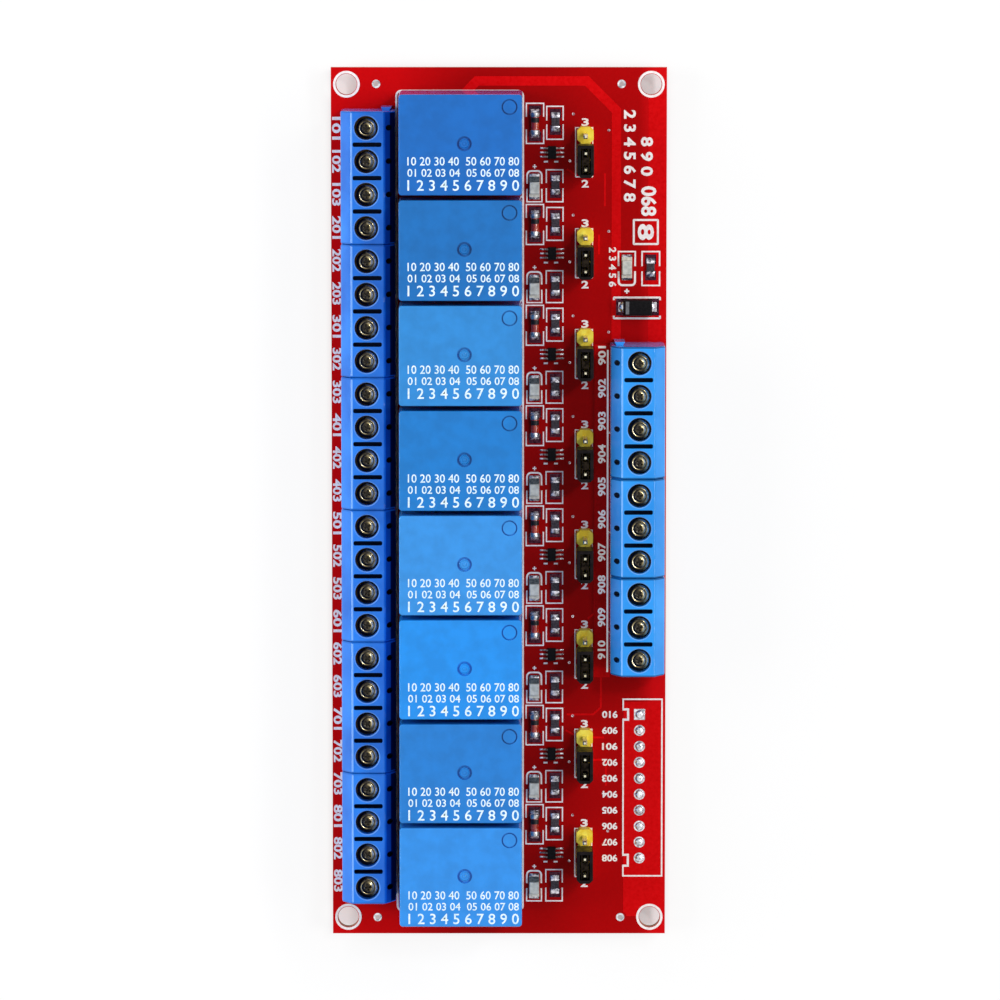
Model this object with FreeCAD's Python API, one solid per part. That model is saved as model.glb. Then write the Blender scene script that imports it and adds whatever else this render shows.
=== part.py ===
import FreeCAD, Part
import math
import os

# A relay module board: eight sealed relays, screw terminals down both long edges,
# and a small trigger circuit with a jumper for each relay.
# Millimetres. The origin is the centre of the four mounting holes on the board's underside.
# +Z points out of the component side, +Y runs along the board towards relay 1.

Vector = FreeCAD.Vector

# Circuit board
board_width = 51.6
board_length = 134.5
board_thickness = 1.6
mounting_inset_x = 2.4
mounting_inset_y = 2.6
mounting_hole_diameter = 3.2
tooling_inset_x = 6.95
tooling_inset_y = 2.55
tooling_hole_diameter = 1.3
lead_tail = 2.0
round_sides = 8

# Relays
relay_count = 8
relay_length = 19.0
relay_width = 15.5
relay_side_gap = 0.5
relay_terminal_gap = 0.51
relay_height = 15.3
relay_foot = 0.3
relay_foot_width = 1.2
relay_corner = 0.6
relay_draft = 0.12
relay_nub_diameter = 2.0
relay_nub_height = 0.35
relay_nub_offset_x = 0.6
relay_nub_offset_y = 0.2
relay_lead_width = 1.0
relay_lead_thickness = 0.5
relay_end_lead_x = 7.1
relay_coil_lead_x = 5.1
relay_lead_offset_y = 6.0

# Screw terminals, both rows
terminal_pitch = 5.08
terminal_height = 10.0
terminal_front = 3.95
terminal_back = 4.35
plateau_front = 2.4
plateau_back = 2.8
front_shoulder_height = 7.6
back_shoulder_height = 7.0
well_diameter = 3.7
well_sides = 14
screw_diameter = 3.1
screw_sides = 8
screw_sink = 1.3
slot_width = 0.76
slot_length = 4.5
slot_depth = 3.0
slot_shift = 0.15
frame_width = 3.6
frame_depth = 4.6
frame_height = 5.2
frame_wall = 0.5
frame_rise = 1.3
clamp_clearance = 0.05
wire_window_width = 3.0
wire_window_height = 3.6
funnel_flare = 0.45
clamp_lead_width = 1.0
clamp_lead_thickness = 0.8
dovetail_neck = 1.0
dovetail_head = 1.6
dovetail_reach = 0.5
dovetail_top = 6.6
dovetail_shift = 3.0
dovetail_clearance = 0.05
output_row_x = -20.2
output_row_y = 58.36
output_blocks = [4, 4, 4, 4, 4, 4]
input_row_x = 21.5
input_row_y = 22.45
input_blocks = [4, 3, 3]

# Pin headers and jumper caps
channel_pitch = 15.535
channel_shift = 0.35
header_gap = 8.32
header_drop = 4.84
header_pitch = 2.54
header_pins = 3
header_width = 2.54
header_height = 2.5
header_notch = 0.55
header_pin_side = 0.64
header_pin_top = 8.5
header_pin_tip = 0.3
cap_length = 5.0
cap_width = 2.5
cap_gap = 0.05
cap_wall = 0.5
cap_slot = 1.5
cap_corner = 0.3
clip_sheet = 0.2
clip_clearance = 0.04
clip_lift = 0.6
clip_top_gap = 1.0
clip_bridge = 1.2

# Surface-mounted parts. Each column stands a gap away from the relays, and each part hangs a drop below
# the top of its channel's group.
diode_gap = 1.165
diode_drop = 3.14
diode_length = 3.5
diode_diameter = 1.45
diode_sides = 8
resistor_gap = 4.415
first_resistor_drop = 2.9
second_resistor_drop = 12.6
resistor_length = 2.0
resistor_width = 1.25
resistor_height = 0.5
lamp_gap = 1.01
lamp_drop = 12.85
lamp_length = 3.2
lamp_width = 1.6
lamp_base_height = 0.5
lamp_height = 1.1
lamp_end = 0.45
driver_gap = 3.21
driver_drop = 7.6
driver_length = 2.0
driver_width = 1.3
driver_body_height = 0.8
driver_span = 2.6
driver_lead_pitch = 0.65
driver_lead_width = 0.25
driver_lead_thickness = 0.15
driver_lead_start = 0.4

# Power parts, placed from the first screw of the input terminals
power_lamp_shift = -1.8
power_resistor_shift = 1.85
power_row_rise = 14.05
power_diode_shift = -0.15
power_diode_rise = 7.95
power_diode_length = 4.5
power_diode_width = 2.6
power_diode_height = 2.1
power_diode_draft = 0.2
power_diode_lead_reach = 0.7
power_diode_lead_length = 1.6
power_diode_lead_width = 1.5
power_diode_lead_thickness = 0.2

top = board_thickness
tail_z = -lead_tail
mounting_spacing_x = board_width - 2 * mounting_inset_x
mounting_spacing_y = board_length - 2 * mounting_inset_y
tooling_spacing_x = board_width - 2 * tooling_inset_x
tooling_spacing_y = board_length - 2 * tooling_inset_y
relay_pitch = relay_width + relay_side_gap
channel_top = relay_count / 2 * channel_pitch - channel_shift

# Columns from left to right: the relays stand off the output terminals, the small parts off the relays
relay_row_x = output_row_x + terminal_back + relay_terminal_gap + relay_length / 2
relays_end = relay_row_x + relay_length / 2
diode_x = relays_end + diode_gap + diode_diameter / 2
lamp_x = relays_end + lamp_gap + lamp_width / 2
driver_x = relays_end + driver_gap + driver_span / 2
resistor_x = relays_end + resistor_gap + resistor_width / 2
header_x = relays_end + header_gap + header_width / 2
power_lamp_x = input_row_x + power_lamp_shift
power_resistor_x = input_row_x + power_resistor_shift
power_row_y = input_row_y + power_row_rise
power_diode_x = input_row_x + power_diode_shift
power_diode_y = input_row_y + power_diode_rise


def box(center_x, center_y, low_z, size_x, size_y, size_z):
    corner = Vector(center_x - size_x / 2, center_y - size_y / 2, low_z)
    return Part.makeBox(size_x, size_y, size_z, corner)


def bore(center_x, center_y, low_z, diameter, depth):
    return Part.makeCylinder(diameter / 2, depth, Vector(center_x, center_y, low_z))


def face(points):
    return Part.Face(Part.makePolygon(points + [points[0]]))


def prism(points, direction):
    """A closed outline, given as points in space, pushed along a direction."""
    return face(points).extrude(direction)


def tapered(low, high):
    """A flat-sided solid between two outlines that have matching corners."""
    sides = []
    for index in range(len(low)):
        after = (index + 1) % len(low)
        sides.append(face([low[index], low[after], high[after], high[index]]))
    solid = Part.makeSolid(Part.makeShell([face(low), face(high)] + sides))
    if solid.Volume < 0:
        solid.reverse()
    return solid


def rectangle(size_x, size_y, height, corner=0.0):
    """A rectangle about the Z axis, its corners cut off at 45 degrees where a corner size is given."""
    half_x = size_x / 2
    half_y = size_y / 2
    if not corner:
        ends = [(-half_x, -half_y), (half_x, -half_y), (half_x, half_y), (-half_x, half_y)]
        return [Vector(x, y, height) for x, y in ends]
    points = []
    for turn_x, turn_y in ((1, -1), (1, 1), (-1, 1), (-1, -1)):
        first = (turn_x * (half_x - corner), turn_y * half_y)
        second = (turn_x * half_x, turn_y * (half_y - corner))
        pair = [first, second] if turn_x * turn_y < 0 else [second, first]
        points.extend(Vector(x, y, height) for x, y in pair)
    return points


def round_prism(center, diameter, sides, direction):
    """A prism with flat sides about an axis: what is round and repeated has few faces."""
    axis = Vector(direction).normalize()
    across = Vector(1, 0, 0)
    if abs(axis.x) > 0.5:
        across = Vector(0, 1, 0)
    up = axis.cross(across)
    points = []
    for step in range(sides):
        angle = math.tau * (step + 0.5) / sides
        points.append(center + (across * math.cos(angle) + up * math.sin(angle)) * (diameter / 2))
    return prism(points, direction)


def save(name, solids):
    """One file for each node; like pieces share a node as separate solids."""
    shape = solids[0] if len(solids) == 1 else Part.makeCompound(solids)
    shape.exportStep(os.path.join("parts", name + ".step"))


def moved(shape, x, y, z=0.0):
    copy = shape.copy()
    copy.translate(Vector(x, y, z))
    return copy


# Where things stand

def relay_y(index):
    return (relay_count - 1) / 2 * relay_pitch - index * relay_pitch


def group_y(channel):
    return channel_top - channel * channel_pitch


def header_y(channel):
    """The middle pin of a channel's header."""
    return group_y(channel) - header_drop - header_pitch


def pole_positions(count):
    """Poles of one block, from its far end, about the block's middle."""
    return [((count - 1) / 2 - index) * terminal_pitch for index in range(count)]


def row_blocks(first_y, blocks):
    """Each block of a row as its middle and its number of poles."""
    placed = []
    used = 0
    for count in blocks:
        middle = first_y - (used + (count - 1) / 2) * terminal_pitch
        placed.append((middle, count))
        used += count
    return placed


# A relay: a moulded case with a little draft, standing on two feet over its leads

def relay_case():
    low = rectangle(relay_length, relay_width, top + relay_foot, relay_corner)
    lid_length = relay_length - 2 * relay_draft
    lid_width = relay_width - 2 * relay_draft
    high = rectangle(lid_length, lid_width, top + relay_height, relay_corner)
    extras = []
    foot_x = (relay_length - relay_foot_width) / 2 - relay_corner
    foot_y = relay_width - 2 * relay_corner
    for side in (-1, 1):
        extras.append(box(side * foot_x, 0, top, relay_foot_width, foot_y, relay_foot))
    nub_base = Vector(relay_nub_offset_x, relay_nub_offset_y, top + relay_height)
    extras.append(round_prism(nub_base, relay_nub_diameter, round_sides, Vector(0, 0, relay_nub_height)))
    return tapered(low, high).multiFuse(extras).removeSplitter()


def relay_lead_places():
    """The common lead and two coil leads face the headers; the two contact leads face the outputs."""
    places = [(relay_end_lead_x, 0)]
    for side in (-1, 1):
        places.append((relay_coil_lead_x, side * relay_lead_offset_y))
        places.append((-relay_end_lead_x, side * relay_lead_offset_y))
    return places


def relay_leads():
    length = top + relay_foot - tail_z
    return [box(x, y, tail_z, relay_lead_thickness, relay_lead_width, length) for x, y in relay_lead_places()]


# A terminal block, its wires entering along +X, its poles along Y

def terminal_housing(count):
    length = count * terminal_pitch
    profile = [
        (terminal_front, 0),
        (terminal_front, front_shoulder_height),
        (plateau_front, terminal_height),
        (-plateau_back, terminal_height),
        (-terminal_back, back_shoulder_height),
        (-terminal_back, 0),
    ]
    points = [Vector(x, -length / 2, top + z) for x, z in profile]
    body = prism(points, Vector(0, length, 0))
    cavities = [dovetail(-length / 2, dovetail_clearance)]
    for y in pole_positions(count):
        cavities.extend(pole_cavities(y))
    for y in pole_positions(count)[1:]:
        slot_y = y + terminal_pitch / 2
        slot_z = top + terminal_height - slot_depth
        cavities.append(box(-slot_shift, slot_y, slot_z, slot_length, slot_width, slot_depth))
    body = body.cut(Part.makeCompound(cavities))
    return body.fuse(dovetail(length / 2, 0)).removeSplitter()


def pole_cavities(y):
    """The screw well, the pocket that holds the clamp frame, and the flared wire window."""
    pocket_width = frame_width + 2 * clamp_clearance
    pocket_depth = frame_depth + 2 * clamp_clearance
    pocket_top = frame_rise + frame_height
    pocket = box(0, y, top, pocket_depth, pocket_width, pocket_top)
    well_depth = terminal_height - pocket_top
    well = round_prism(Vector(0, y, top + pocket_top), well_diameter, well_sides, Vector(0, 0, well_depth))
    return [pocket, well, wire_window(y, pocket_depth / 2)]


def wire_window(y, inner_x):
    """A funnel through the front wall, as wide inside as the clamp frame's passage."""
    middle_z = top + frame_rise + frame_height / 2
    ends = []
    for x, flare in ((inner_x, 0), (terminal_front, funnel_flare)):
        half_y = wire_window_width / 2 + flare
        half_z = wire_window_height / 2 + flare
        corners = [(-1, -1), (1, -1), (1, 1), (-1, 1)]
        ends.append([Vector(x, y + a * half_y, middle_z + b * half_z) for a, b in corners])
    return tapered(ends[0], ends[1])


def dovetail(end_y, clearance):
    """The rib that locks a block to the next one; with a clearance it is the groove for it."""
    neck = dovetail_neck / 2 + clearance
    head = dovetail_head / 2 + clearance
    reach = dovetail_reach + clearance
    outline = [(-neck, 0), (-head, reach), (head, reach), (neck, 0)]
    points = [Vector(x - dovetail_shift, end_y + y, top) for x, y in outline]
    return prism(points, Vector(0, 0, dovetail_top + clearance))


def terminal_screw(y):
    """The screw stands on the clamp frame, its head below the rim of the well."""
    base = Vector(0, y, top + frame_rise + frame_height)
    length = terminal_height - screw_sink - frame_rise - frame_height
    return round_prism(base, screw_diameter, screw_sides, Vector(0, 0, length))


def clamp_frame(y):
    """A folded brass frame: the wire goes through it, and its lead goes through the board."""
    low = top + frame_rise
    shell = box(0, y, low, frame_depth, frame_width, frame_height)
    inner_width = frame_width - 2 * frame_wall
    inner_height = frame_height - 2 * frame_wall
    passage = box(0, y, low + frame_wall, frame_depth, inner_width, inner_height)
    lead = box(0, y, tail_z, clamp_lead_thickness, clamp_lead_width, low - tail_z)
    return shell.cut(passage).fuse(lead).removeSplitter()


def placed_block(shape, row_x, middle_y, wires_left):
    copy = shape.copy()
    if wires_left:
        copy = copy.mirror(Vector(0, 0, 0), Vector(1, 0, 0))
    copy.translate(Vector(row_x, middle_y, 0))
    return copy


# A header: a notched strip with three square pins, and the cap that bridges two of them

def header_body():
    """A strip of square cells with cut corners; its pins are pressed through it."""
    half = header_width / 2
    side = []
    for y in header_pin_rows():
        side.append((half - header_notch, y - header_pitch / 2))
        side.append((half, y - header_pitch / 2 + header_notch))
        side.append((half, y + header_pitch / 2 - header_notch))
    side.append((half - header_notch, header_pin_rows()[-1] + header_pitch / 2))
    right = [Vector(x, y, top) for x, y in side]
    left = [Vector(-x, y, top) for x, y in side]
    return prism(right + left[::-1], Vector(0, 0, header_height))


def header_pin_rows():
    return [(pin - (header_pins - 1) / 2) * header_pitch for pin in range(header_pins)]


def header_pin(y):
    """A square pin with a blunt pyramid tip."""
    shank_top = top + header_pin_top - header_pin_tip
    shank = box(0, y, tail_z, header_pin_side, header_pin_side, shank_top - tail_z)
    low = rectangle(header_pin_side, header_pin_side, shank_top)
    high = rectangle(header_pin_side / 2, header_pin_side / 2, shank_top + header_pin_tip)
    return shank.fuse(moved(tapered(low, high), 0, y)).removeSplitter()


def cap_middle():
    """The cap covers the last two pins of the header."""
    return header_pin_rows()[0] + header_pitch / 2


def jumper_cap():
    """An open-topped sleeve with cut corners."""
    low = top + header_height + cap_gap
    high = top + header_pin_top
    outline = rectangle(cap_width, cap_length, low, cap_corner)
    sleeve = prism(outline, Vector(0, 0, high - low))
    slot = box(0, 0, low, cap_slot, cap_length - 2 * cap_wall, high - low)
    return moved(sleeve.cut(slot), 0, cap_middle())


def jumper_clip():
    """A folded strip: two leaves that grip both pins, joined by a bridge between them."""
    low = top + header_height + cap_gap + clip_lift
    height = top + header_pin_top - clip_top_gap - low
    offset = header_pin_side / 2 + clip_clearance + clip_sheet / 2
    length = cap_length - 2 * cap_wall - 2 * clip_clearance
    clip = box(-offset, cap_middle(), low, clip_sheet, length, height)
    clip = clip.fuse(box(offset, cap_middle(), low, clip_sheet, length, height))
    bridge = box(0, cap_middle(), low + height - clip_sheet, 2 * offset, clip_bridge, clip_sheet)
    return clip.fuse(bridge).removeSplitter()


# Surface-mounted parts

def glass_diode(x, y):
    """A glass barrel with a metal end at each end, lying along Y."""
    lift = diode_diameter / 2 * math.cos(math.pi / diode_sides)
    start = Vector(x, y - diode_length / 2, top + lift)
    return round_prism(start, diode_diameter, diode_sides, Vector(0, diode_length, 0))


def chip_resistor(x, y):
    return box(x, y, top, resistor_width, resistor_length, resistor_height)


def lamp(x, y):
    """A chip lamp: a flat base with a narrower clear block on it."""
    base = box(x, y, top, lamp_width, lamp_length, lamp_base_height)
    lens_length = lamp_length - 2 * lamp_end
    lens = box(x, y, top + lamp_base_height, lamp_width, lens_length, lamp_height - lamp_base_height)
    return base.fuse(lens).removeSplitter()


def driver_package(x, y):
    """A six-lead package: its body, and leads that run out from under it to the left and right."""
    solids = [box(x, y, top + driver_lead_thickness, driver_width, driver_length, driver_body_height)]
    reach = driver_span / 2 - driver_lead_start
    for side in (-1, 1):
        for row in (-1, 0, 1):
            lead_x = x + side * (driver_lead_start + reach / 2)
            lead_y = y + row * driver_lead_pitch
            solids.append(box(lead_x, lead_y, top, reach, driver_lead_width, driver_lead_thickness))
    return solids


def power_diode():
    low = top + power_diode_lead_thickness
    waist = low + power_diode_height / 2
    high = low + power_diode_height
    narrow_x = power_diode_length - 2 * power_diode_draft
    narrow_y = power_diode_width - 2 * power_diode_draft
    middle = rectangle(power_diode_length, power_diode_width, waist)
    lower = tapered(rectangle(narrow_x, narrow_y, low), middle)
    upper = tapered(middle, rectangle(narrow_x, narrow_y, high))
    solids = [lower.fuse(upper)]
    span = power_diode_length + 2 * power_diode_lead_reach
    for side in (-1, 1):
        lead_x = side * (span - power_diode_lead_length) / 2
        lead_size = (power_diode_lead_length, power_diode_lead_width, power_diode_lead_thickness)
        solids.append(box(lead_x, 0, top, *lead_size))
    return [moved(solid, power_diode_x, power_diode_y) for solid in solids]


# The board: solder fills each lead's hole, so it is drilled only where a hole stays open

def circuit_board():
    plate = box(0, 0, 0, board_width, board_length, board_thickness)
    holes = []
    through = Vector(0, 0, board_thickness)
    for side_x in (-1, 1):
        for side_y in (-1, 1):
            mounting_x = side_x * mounting_spacing_x / 2
            mounting_y = side_y * mounting_spacing_y / 2
            holes.append(bore(mounting_x, mounting_y, 0, mounting_hole_diameter, board_thickness))
            tooling = Vector(side_x * tooling_spacing_x / 2, side_y * tooling_spacing_y / 2, 0)
            holes.append(round_prism(tooling, tooling_hole_diameter, round_sides, through))
    return plate.cut(Part.makeCompound(holes))


def build_terminal_row(name, row_x, first_y, blocks, wires_left):
    screws = []
    frames = []
    for number, (middle_y, count) in enumerate(row_blocks(first_y, blocks), start=1):
        housing = placed_block(terminal_housing(count), row_x, middle_y, wires_left)
        save(name + "_terminal_housing_%d" % number, [housing])
        for y in pole_positions(count):
            screws.append(placed_block(terminal_screw(y), row_x, middle_y, wires_left))
            frames.append(placed_block(clamp_frame(y), row_x, middle_y, wires_left))
    save(name + "_terminal_screws", screws)
    save(name + "_terminal_clamps", frames)


def build_relays():
    case = relay_case()
    leads = relay_leads()
    placed_leads = []
    for index in range(relay_count):
        save("relay_%d" % (index + 1), [moved(case, relay_row_x, relay_y(index))])
        for lead in leads:
            placed_leads.append(moved(lead, relay_row_x, relay_y(index)))
    save("relay_leads", placed_leads)


def build_headers():
    body = header_body()
    cap = jumper_cap()
    clip = jumper_clip()
    pins = []
    for channel in range(relay_count):
        number = channel + 1
        y = header_y(channel)
        save("header_body_%d" % number, [moved(body, header_x, y)])
        save("jumper_cap_%d" % number, [moved(cap, header_x, y)])
        save("jumper_clip_%d" % number, [moved(clip, header_x, y)])
        for row in header_pin_rows():
            pins.append(moved(header_pin(row), header_x, y))
    save("header_pins", pins)


def build_surface_parts():
    diodes = []
    resistors = []
    lamps = []
    drivers = []
    for channel in range(relay_count):
        y = group_y(channel)
        diodes.append(glass_diode(diode_x, y - diode_drop))
        for drop in (first_resistor_drop, second_resistor_drop):
            resistors.append(chip_resistor(resistor_x, y - drop))
        lamps.append(lamp(lamp_x, y - lamp_drop))
        drivers.extend(driver_package(driver_x, y - driver_drop))
    save("glass_diodes", diodes)
    save("channel_resistors", resistors)
    save("channel_lamps", lamps)
    save("driver_packages", drivers)
    save("power_lamp", [lamp(power_lamp_x, power_row_y)])
    save("power_resistor", [chip_resistor(power_resistor_x, power_row_y)])
    save("power_diode", power_diode())


os.makedirs("parts", exist_ok=True)
save("circuit_board", [circuit_board()])
build_relays()
build_terminal_row("output", output_row_x, output_row_y, output_blocks, True)
build_terminal_row("input", input_row_x, input_row_y, input_blocks, False)
build_headers()
build_surface_parts()
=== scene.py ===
import math
import bmesh
import bpy
from mathutils import Matrix, Vector


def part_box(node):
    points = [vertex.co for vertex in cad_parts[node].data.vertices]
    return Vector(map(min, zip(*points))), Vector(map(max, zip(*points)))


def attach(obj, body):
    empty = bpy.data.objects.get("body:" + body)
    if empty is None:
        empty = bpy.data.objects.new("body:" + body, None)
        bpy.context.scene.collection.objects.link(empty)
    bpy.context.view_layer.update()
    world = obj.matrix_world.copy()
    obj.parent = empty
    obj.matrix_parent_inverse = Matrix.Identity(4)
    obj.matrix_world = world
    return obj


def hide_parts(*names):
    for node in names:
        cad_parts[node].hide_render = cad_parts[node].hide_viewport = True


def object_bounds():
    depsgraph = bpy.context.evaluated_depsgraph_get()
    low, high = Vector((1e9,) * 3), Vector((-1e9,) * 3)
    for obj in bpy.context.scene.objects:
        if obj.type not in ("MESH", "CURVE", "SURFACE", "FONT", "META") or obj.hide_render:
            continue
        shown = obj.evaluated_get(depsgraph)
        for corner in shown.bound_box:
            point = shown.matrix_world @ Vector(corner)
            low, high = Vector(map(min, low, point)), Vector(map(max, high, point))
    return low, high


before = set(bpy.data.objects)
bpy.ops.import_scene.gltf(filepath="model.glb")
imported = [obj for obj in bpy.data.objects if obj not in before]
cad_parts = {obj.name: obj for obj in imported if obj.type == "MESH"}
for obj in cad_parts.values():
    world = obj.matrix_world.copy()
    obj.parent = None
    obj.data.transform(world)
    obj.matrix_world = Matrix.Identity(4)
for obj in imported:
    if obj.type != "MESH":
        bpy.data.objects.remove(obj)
cad_low, cad_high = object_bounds()


# The view and the light. The board lies face up and is seen from almost straight above, through a long lens
# a little beyond its relay 1 end. A wide soft lamp stands low at its left, a long strip lamp at its right,
# and a small weak one overhead, all over a pale floor.
mm = 0.001
camera_place = Vector((0.17, 98.7, 966.62)) * mm
camera_tilt = -0.1014
camera_lens = 226.02
camera_sensor = 36
camera_reach = (0.02, 20)
white = (1, 1, 1, 1)
ambient_level = 0.42
floor_tone = (0.93, 0.93, 0.94, 1)
floor_roughness = 0.9
floor_reach = 3.0
# Under and near the board the floor glows less: painted shade, over which the floor's real shadow also shows.
floor_painted_shade_below = 0.36
floor_painted_shade_near = 0.84
floor_margin = 1 * mm
floor_near_share = 0.4
floor_fade = 0.5
lamps = {
    "left_lamp": ((-0.92, 0.1, 0.46), (0.7, 0.5), 7.7),
    "right_lamp": ((0.72, 0.2, 0.72), (1.0, 0.16), 5.8),
    "top_lamp": ((0.42, 0.36, 1.0), (0.1, 0.1), 1.8),
}

camera_data = bpy.data.cameras.new("camera")
camera_data.lens = camera_lens
camera_data.sensor_width = camera_sensor
camera_data.clip_start, camera_data.clip_end = camera_reach
camera = bpy.data.objects.new("camera", camera_data)
camera.location = camera_place
camera.rotation_euler = (camera_tilt, 0, 0)
bpy.context.scene.collection.objects.link(camera)
bpy.context.scene.camera = camera
bpy.context.scene.view_settings.view_transform = "Standard"


def grey(level):
    return (level, level, level, 1)


def set_inputs(tree, node, inputs):
    """Each named input of a shader node takes a plain value, or another node's output."""
    for key, value in inputs.items():
        if isinstance(value, bpy.types.NodeSocket):
            tree.links.new(value, node.inputs[key])
        else:
            node.inputs[key].default_value = value


def add_node(tree, kind, inputs, **settings):
    made = tree.nodes.new("ShaderNode" + kind)
    for name, setting in settings.items():
        setattr(made, name, setting)
    set_inputs(tree, made, inputs)
    return made


def calc(tree, operation, first, second=0.0, clamp=False):
    """One step of arithmetic on two values."""
    made = add_node(tree, "Math", {0: first, 1: second}, operation=operation, use_clamp=clamp)
    return made.outputs["Value"]


def ramp(tree, value, stops):
    """A colour ramp from a list of places, each with its colour."""
    made = add_node(tree, "ValToRGB", {"Fac": value})
    elements = made.color_ramp.elements
    while len(elements) < len(stops):
        elements.new(0.5)
    for element, (position, tone) in zip(elements, stops):
        element.position = position
        element.color = tone
    return made.outputs["Color"]


def axes_of(tree, kind):
    """The X, Y and Z of a point's place on the object, or of its normal."""
    place = add_node(tree, "TexCoord", {}).outputs[kind]
    return add_node(tree, "SeparateXYZ", {"Vector": place}).outputs


def seen_directly(tree):
    """One for rays from the camera, from a reflection or through glass, and nought for the rest."""
    path = add_node(tree, "LightPath", {}).outputs
    total = calc(tree, "ADD", path["Is Camera Ray"], path["Is Glossy Ray"])
    return calc(tree, "ADD", total, path["Is Transmission Ray"], clamp=True)


def show_mixed(tree, output, share, usual, direct):
    """Two shaders mixed by a share, and sent to the output."""
    mix = add_node(tree, "MixShader", {0: share, 1: usual, 2: direct})
    set_inputs(tree, tree.nodes[output], {"Surface": mix.outputs["Shader"]})


def light_the_room():
    world = bpy.data.worlds.new("room")
    world.use_nodes = True
    bpy.context.scene.world = world
    tree = world.node_tree
    ambient = tree.nodes["Background"]
    set_inputs(tree, ambient, {"Color": white, "Strength": ambient_level})
    backdrop = add_node(tree, "Background", {"Color": white, "Strength": 1.0})
    show_mixed(tree, "World Output", seen_directly(tree), ambient.outputs[0], backdrop.outputs[0])


def floor_glow(tree):
    """How far the floor shows as plain white: less under the board and near it, a painted shade over which
    its real shadow also shows, and wholly well away from it.
    """
    place = axes_of(tree, "Object")
    beyond = []
    for index, axis in enumerate("XY"):
        size = calc(tree, "ABSOLUTE", place[axis])
        beyond.append(calc(tree, "SUBTRACT", size, cad_high[index] - floor_margin))
    share = calc(tree, "DIVIDE", calc(tree, "MAXIMUM", *beyond), floor_fade)
    near = grey(floor_painted_shade_near)
    stops = [(0, grey(floor_painted_shade_below)), (floor_margin / floor_fade, near), (floor_near_share, near), (1, white)]
    return ramp(tree, share, stops)


def lay_floor():
    material = bpy.data.materials.new("floor_white")
    material.use_nodes = True
    tree = material.node_tree
    shader = tree.nodes["Principled BSDF"]
    set_inputs(tree, shader, {"Base Color": floor_tone, "Roughness": floor_roughness})
    glow = add_node(tree, "Emission", {"Color": white})
    share = calc(tree, "MULTIPLY", seen_directly(tree), floor_glow(tree))
    show_mixed(tree, "Material Output", share, shader.outputs[0], glow.outputs[0])
    plane = bmesh.new()
    bmesh.ops.create_grid(plane, x_segments=1, y_segments=1, size=floor_reach)
    bmesh.ops.translate(plane, vec=(0, 0, cad_low.z), verts=plane.verts)
    mesh = bpy.data.meshes.new("floor")
    plane.to_mesh(mesh)
    plane.free()
    mesh.materials.append(material)
    floor = bpy.data.objects.new("floor", mesh)
    bpy.context.scene.collection.objects.link(floor)


def hang_lamp(name, place, size, watts):
    lamp = bpy.data.lights.new(name, "AREA")
    lamp.shape = "RECTANGLE"
    lamp.size, lamp.size_y = size
    lamp.energy = watts
    holder = bpy.data.objects.new(name, lamp)
    holder.location = place
    holder.rotation_euler = (-Vector(place)).to_track_quat("-Z", "Y").to_euler()
    bpy.context.scene.collection.objects.link(holder)


light_the_room()
lay_floor()
for name, look in lamps.items():
    hang_lamp(name, *look)


# The circuit board. A glass fibre plate, routed to size and drilled, under a red solder mask on both faces.
# Its cut edge shows the bare laminate, and the mask is darker over the laminate than over copper. Down the
# middle its red is darker still, partly bare laminate and partly painted shade beside the relays.
board_low, board_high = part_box("circuit_board")
board_top = board_high.z
mask_left = (204, 5, 10)
mask_painted_shade = (160, 3, 5)
mask_middle = (174, 3, 6)
mask_right = (212, 8, 15)
# Stops across the board: the darker middle is partly bare laminate and partly painted shade from the relays.
mask_stops = [(-16, mask_left), (-4, mask_painted_shade), (8, mask_painted_shade), (14, mask_middle), (21.5, mask_middle),
              (24, mask_right)]
mask_speck = 0.5 * mm
tone_span = (0.36, 0.64)
gloss_span = (0.3, 0.7)
relief_strength = 0.6
mask_mottle = 0.93
mask_shine = 0.04
laminate_dark = (150, 96, 60)
laminate_light = (186, 132, 84)


def colour(red, green, blue):
    """A colour as a screen shows it, from 0 to 255, in the linear values that a shader takes."""
    shown = [value / 255 for value in (red, green, blue)]
    linear = [v / 12.92 if v <= 0.04045 else ((v + 0.055) / 1.055) ** 2.4 for v in shown]
    return (*linear, 1.0)


def grain_noise(tree, size):
    """A soft noise over the object, in patches of about one size."""
    place = add_node(tree, "TexCoord", {}).outputs["Object"]
    noise = add_node(tree, "TexNoise", {"Vector": place, "Scale": 1 / size, "Detail": 4})
    return noise.outputs["Fac"]


def spread(tree, value, low, high, to_low=0.0, to_high=1.0):
    """A value from one range, spread over another."""
    ends = {"From Min": low, "From Max": high, "To Min": to_low, "To Max": to_high}
    return add_node(tree, "MapRange", {"Value": value, **ends}).outputs["Result"]


def blend(tree, kind, share, under, over):
    """One colour laid over another."""
    made = add_node(tree, "MixRGB", {"Fac": share, "Color1": under, "Color2": over}, blend_type=kind)
    return made.outputs["Color"]


def shade(material, inputs):
    set_inputs(material.node_tree, material.node_tree.nodes["Principled BSDF"], inputs)


def surface(name, dark, light, grain, gloss, metallic=0.0, relief=0.0, coat=0.0, shine=0.2):
    """A finish whose tone drifts between two close colours, with uneven gloss and a fine relief."""
    material = bpy.data.materials.new(name)
    material.use_nodes = True
    tree = material.node_tree
    drift = grain_noise(tree, grain)
    tone = ramp(tree, drift, list(zip(tone_span, (colour(*dark), colour(*light)))))
    shade(material, {"Base Color": tone, "Roughness": spread(tree, drift, *gloss_span, *gloss),
                     "Metallic": metallic, "Coat Weight": coat,
                     "Specular IOR Level": 0.5 if metallic else shine})
    if relief:
        height = grain_noise(tree, grain / 6)
        bump = add_node(tree, "Bump", {"Strength": relief_strength, "Distance": relief, "Height": height})
        shade(material, {"Normal": bump.outputs["Normal"]})
    return material


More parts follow.
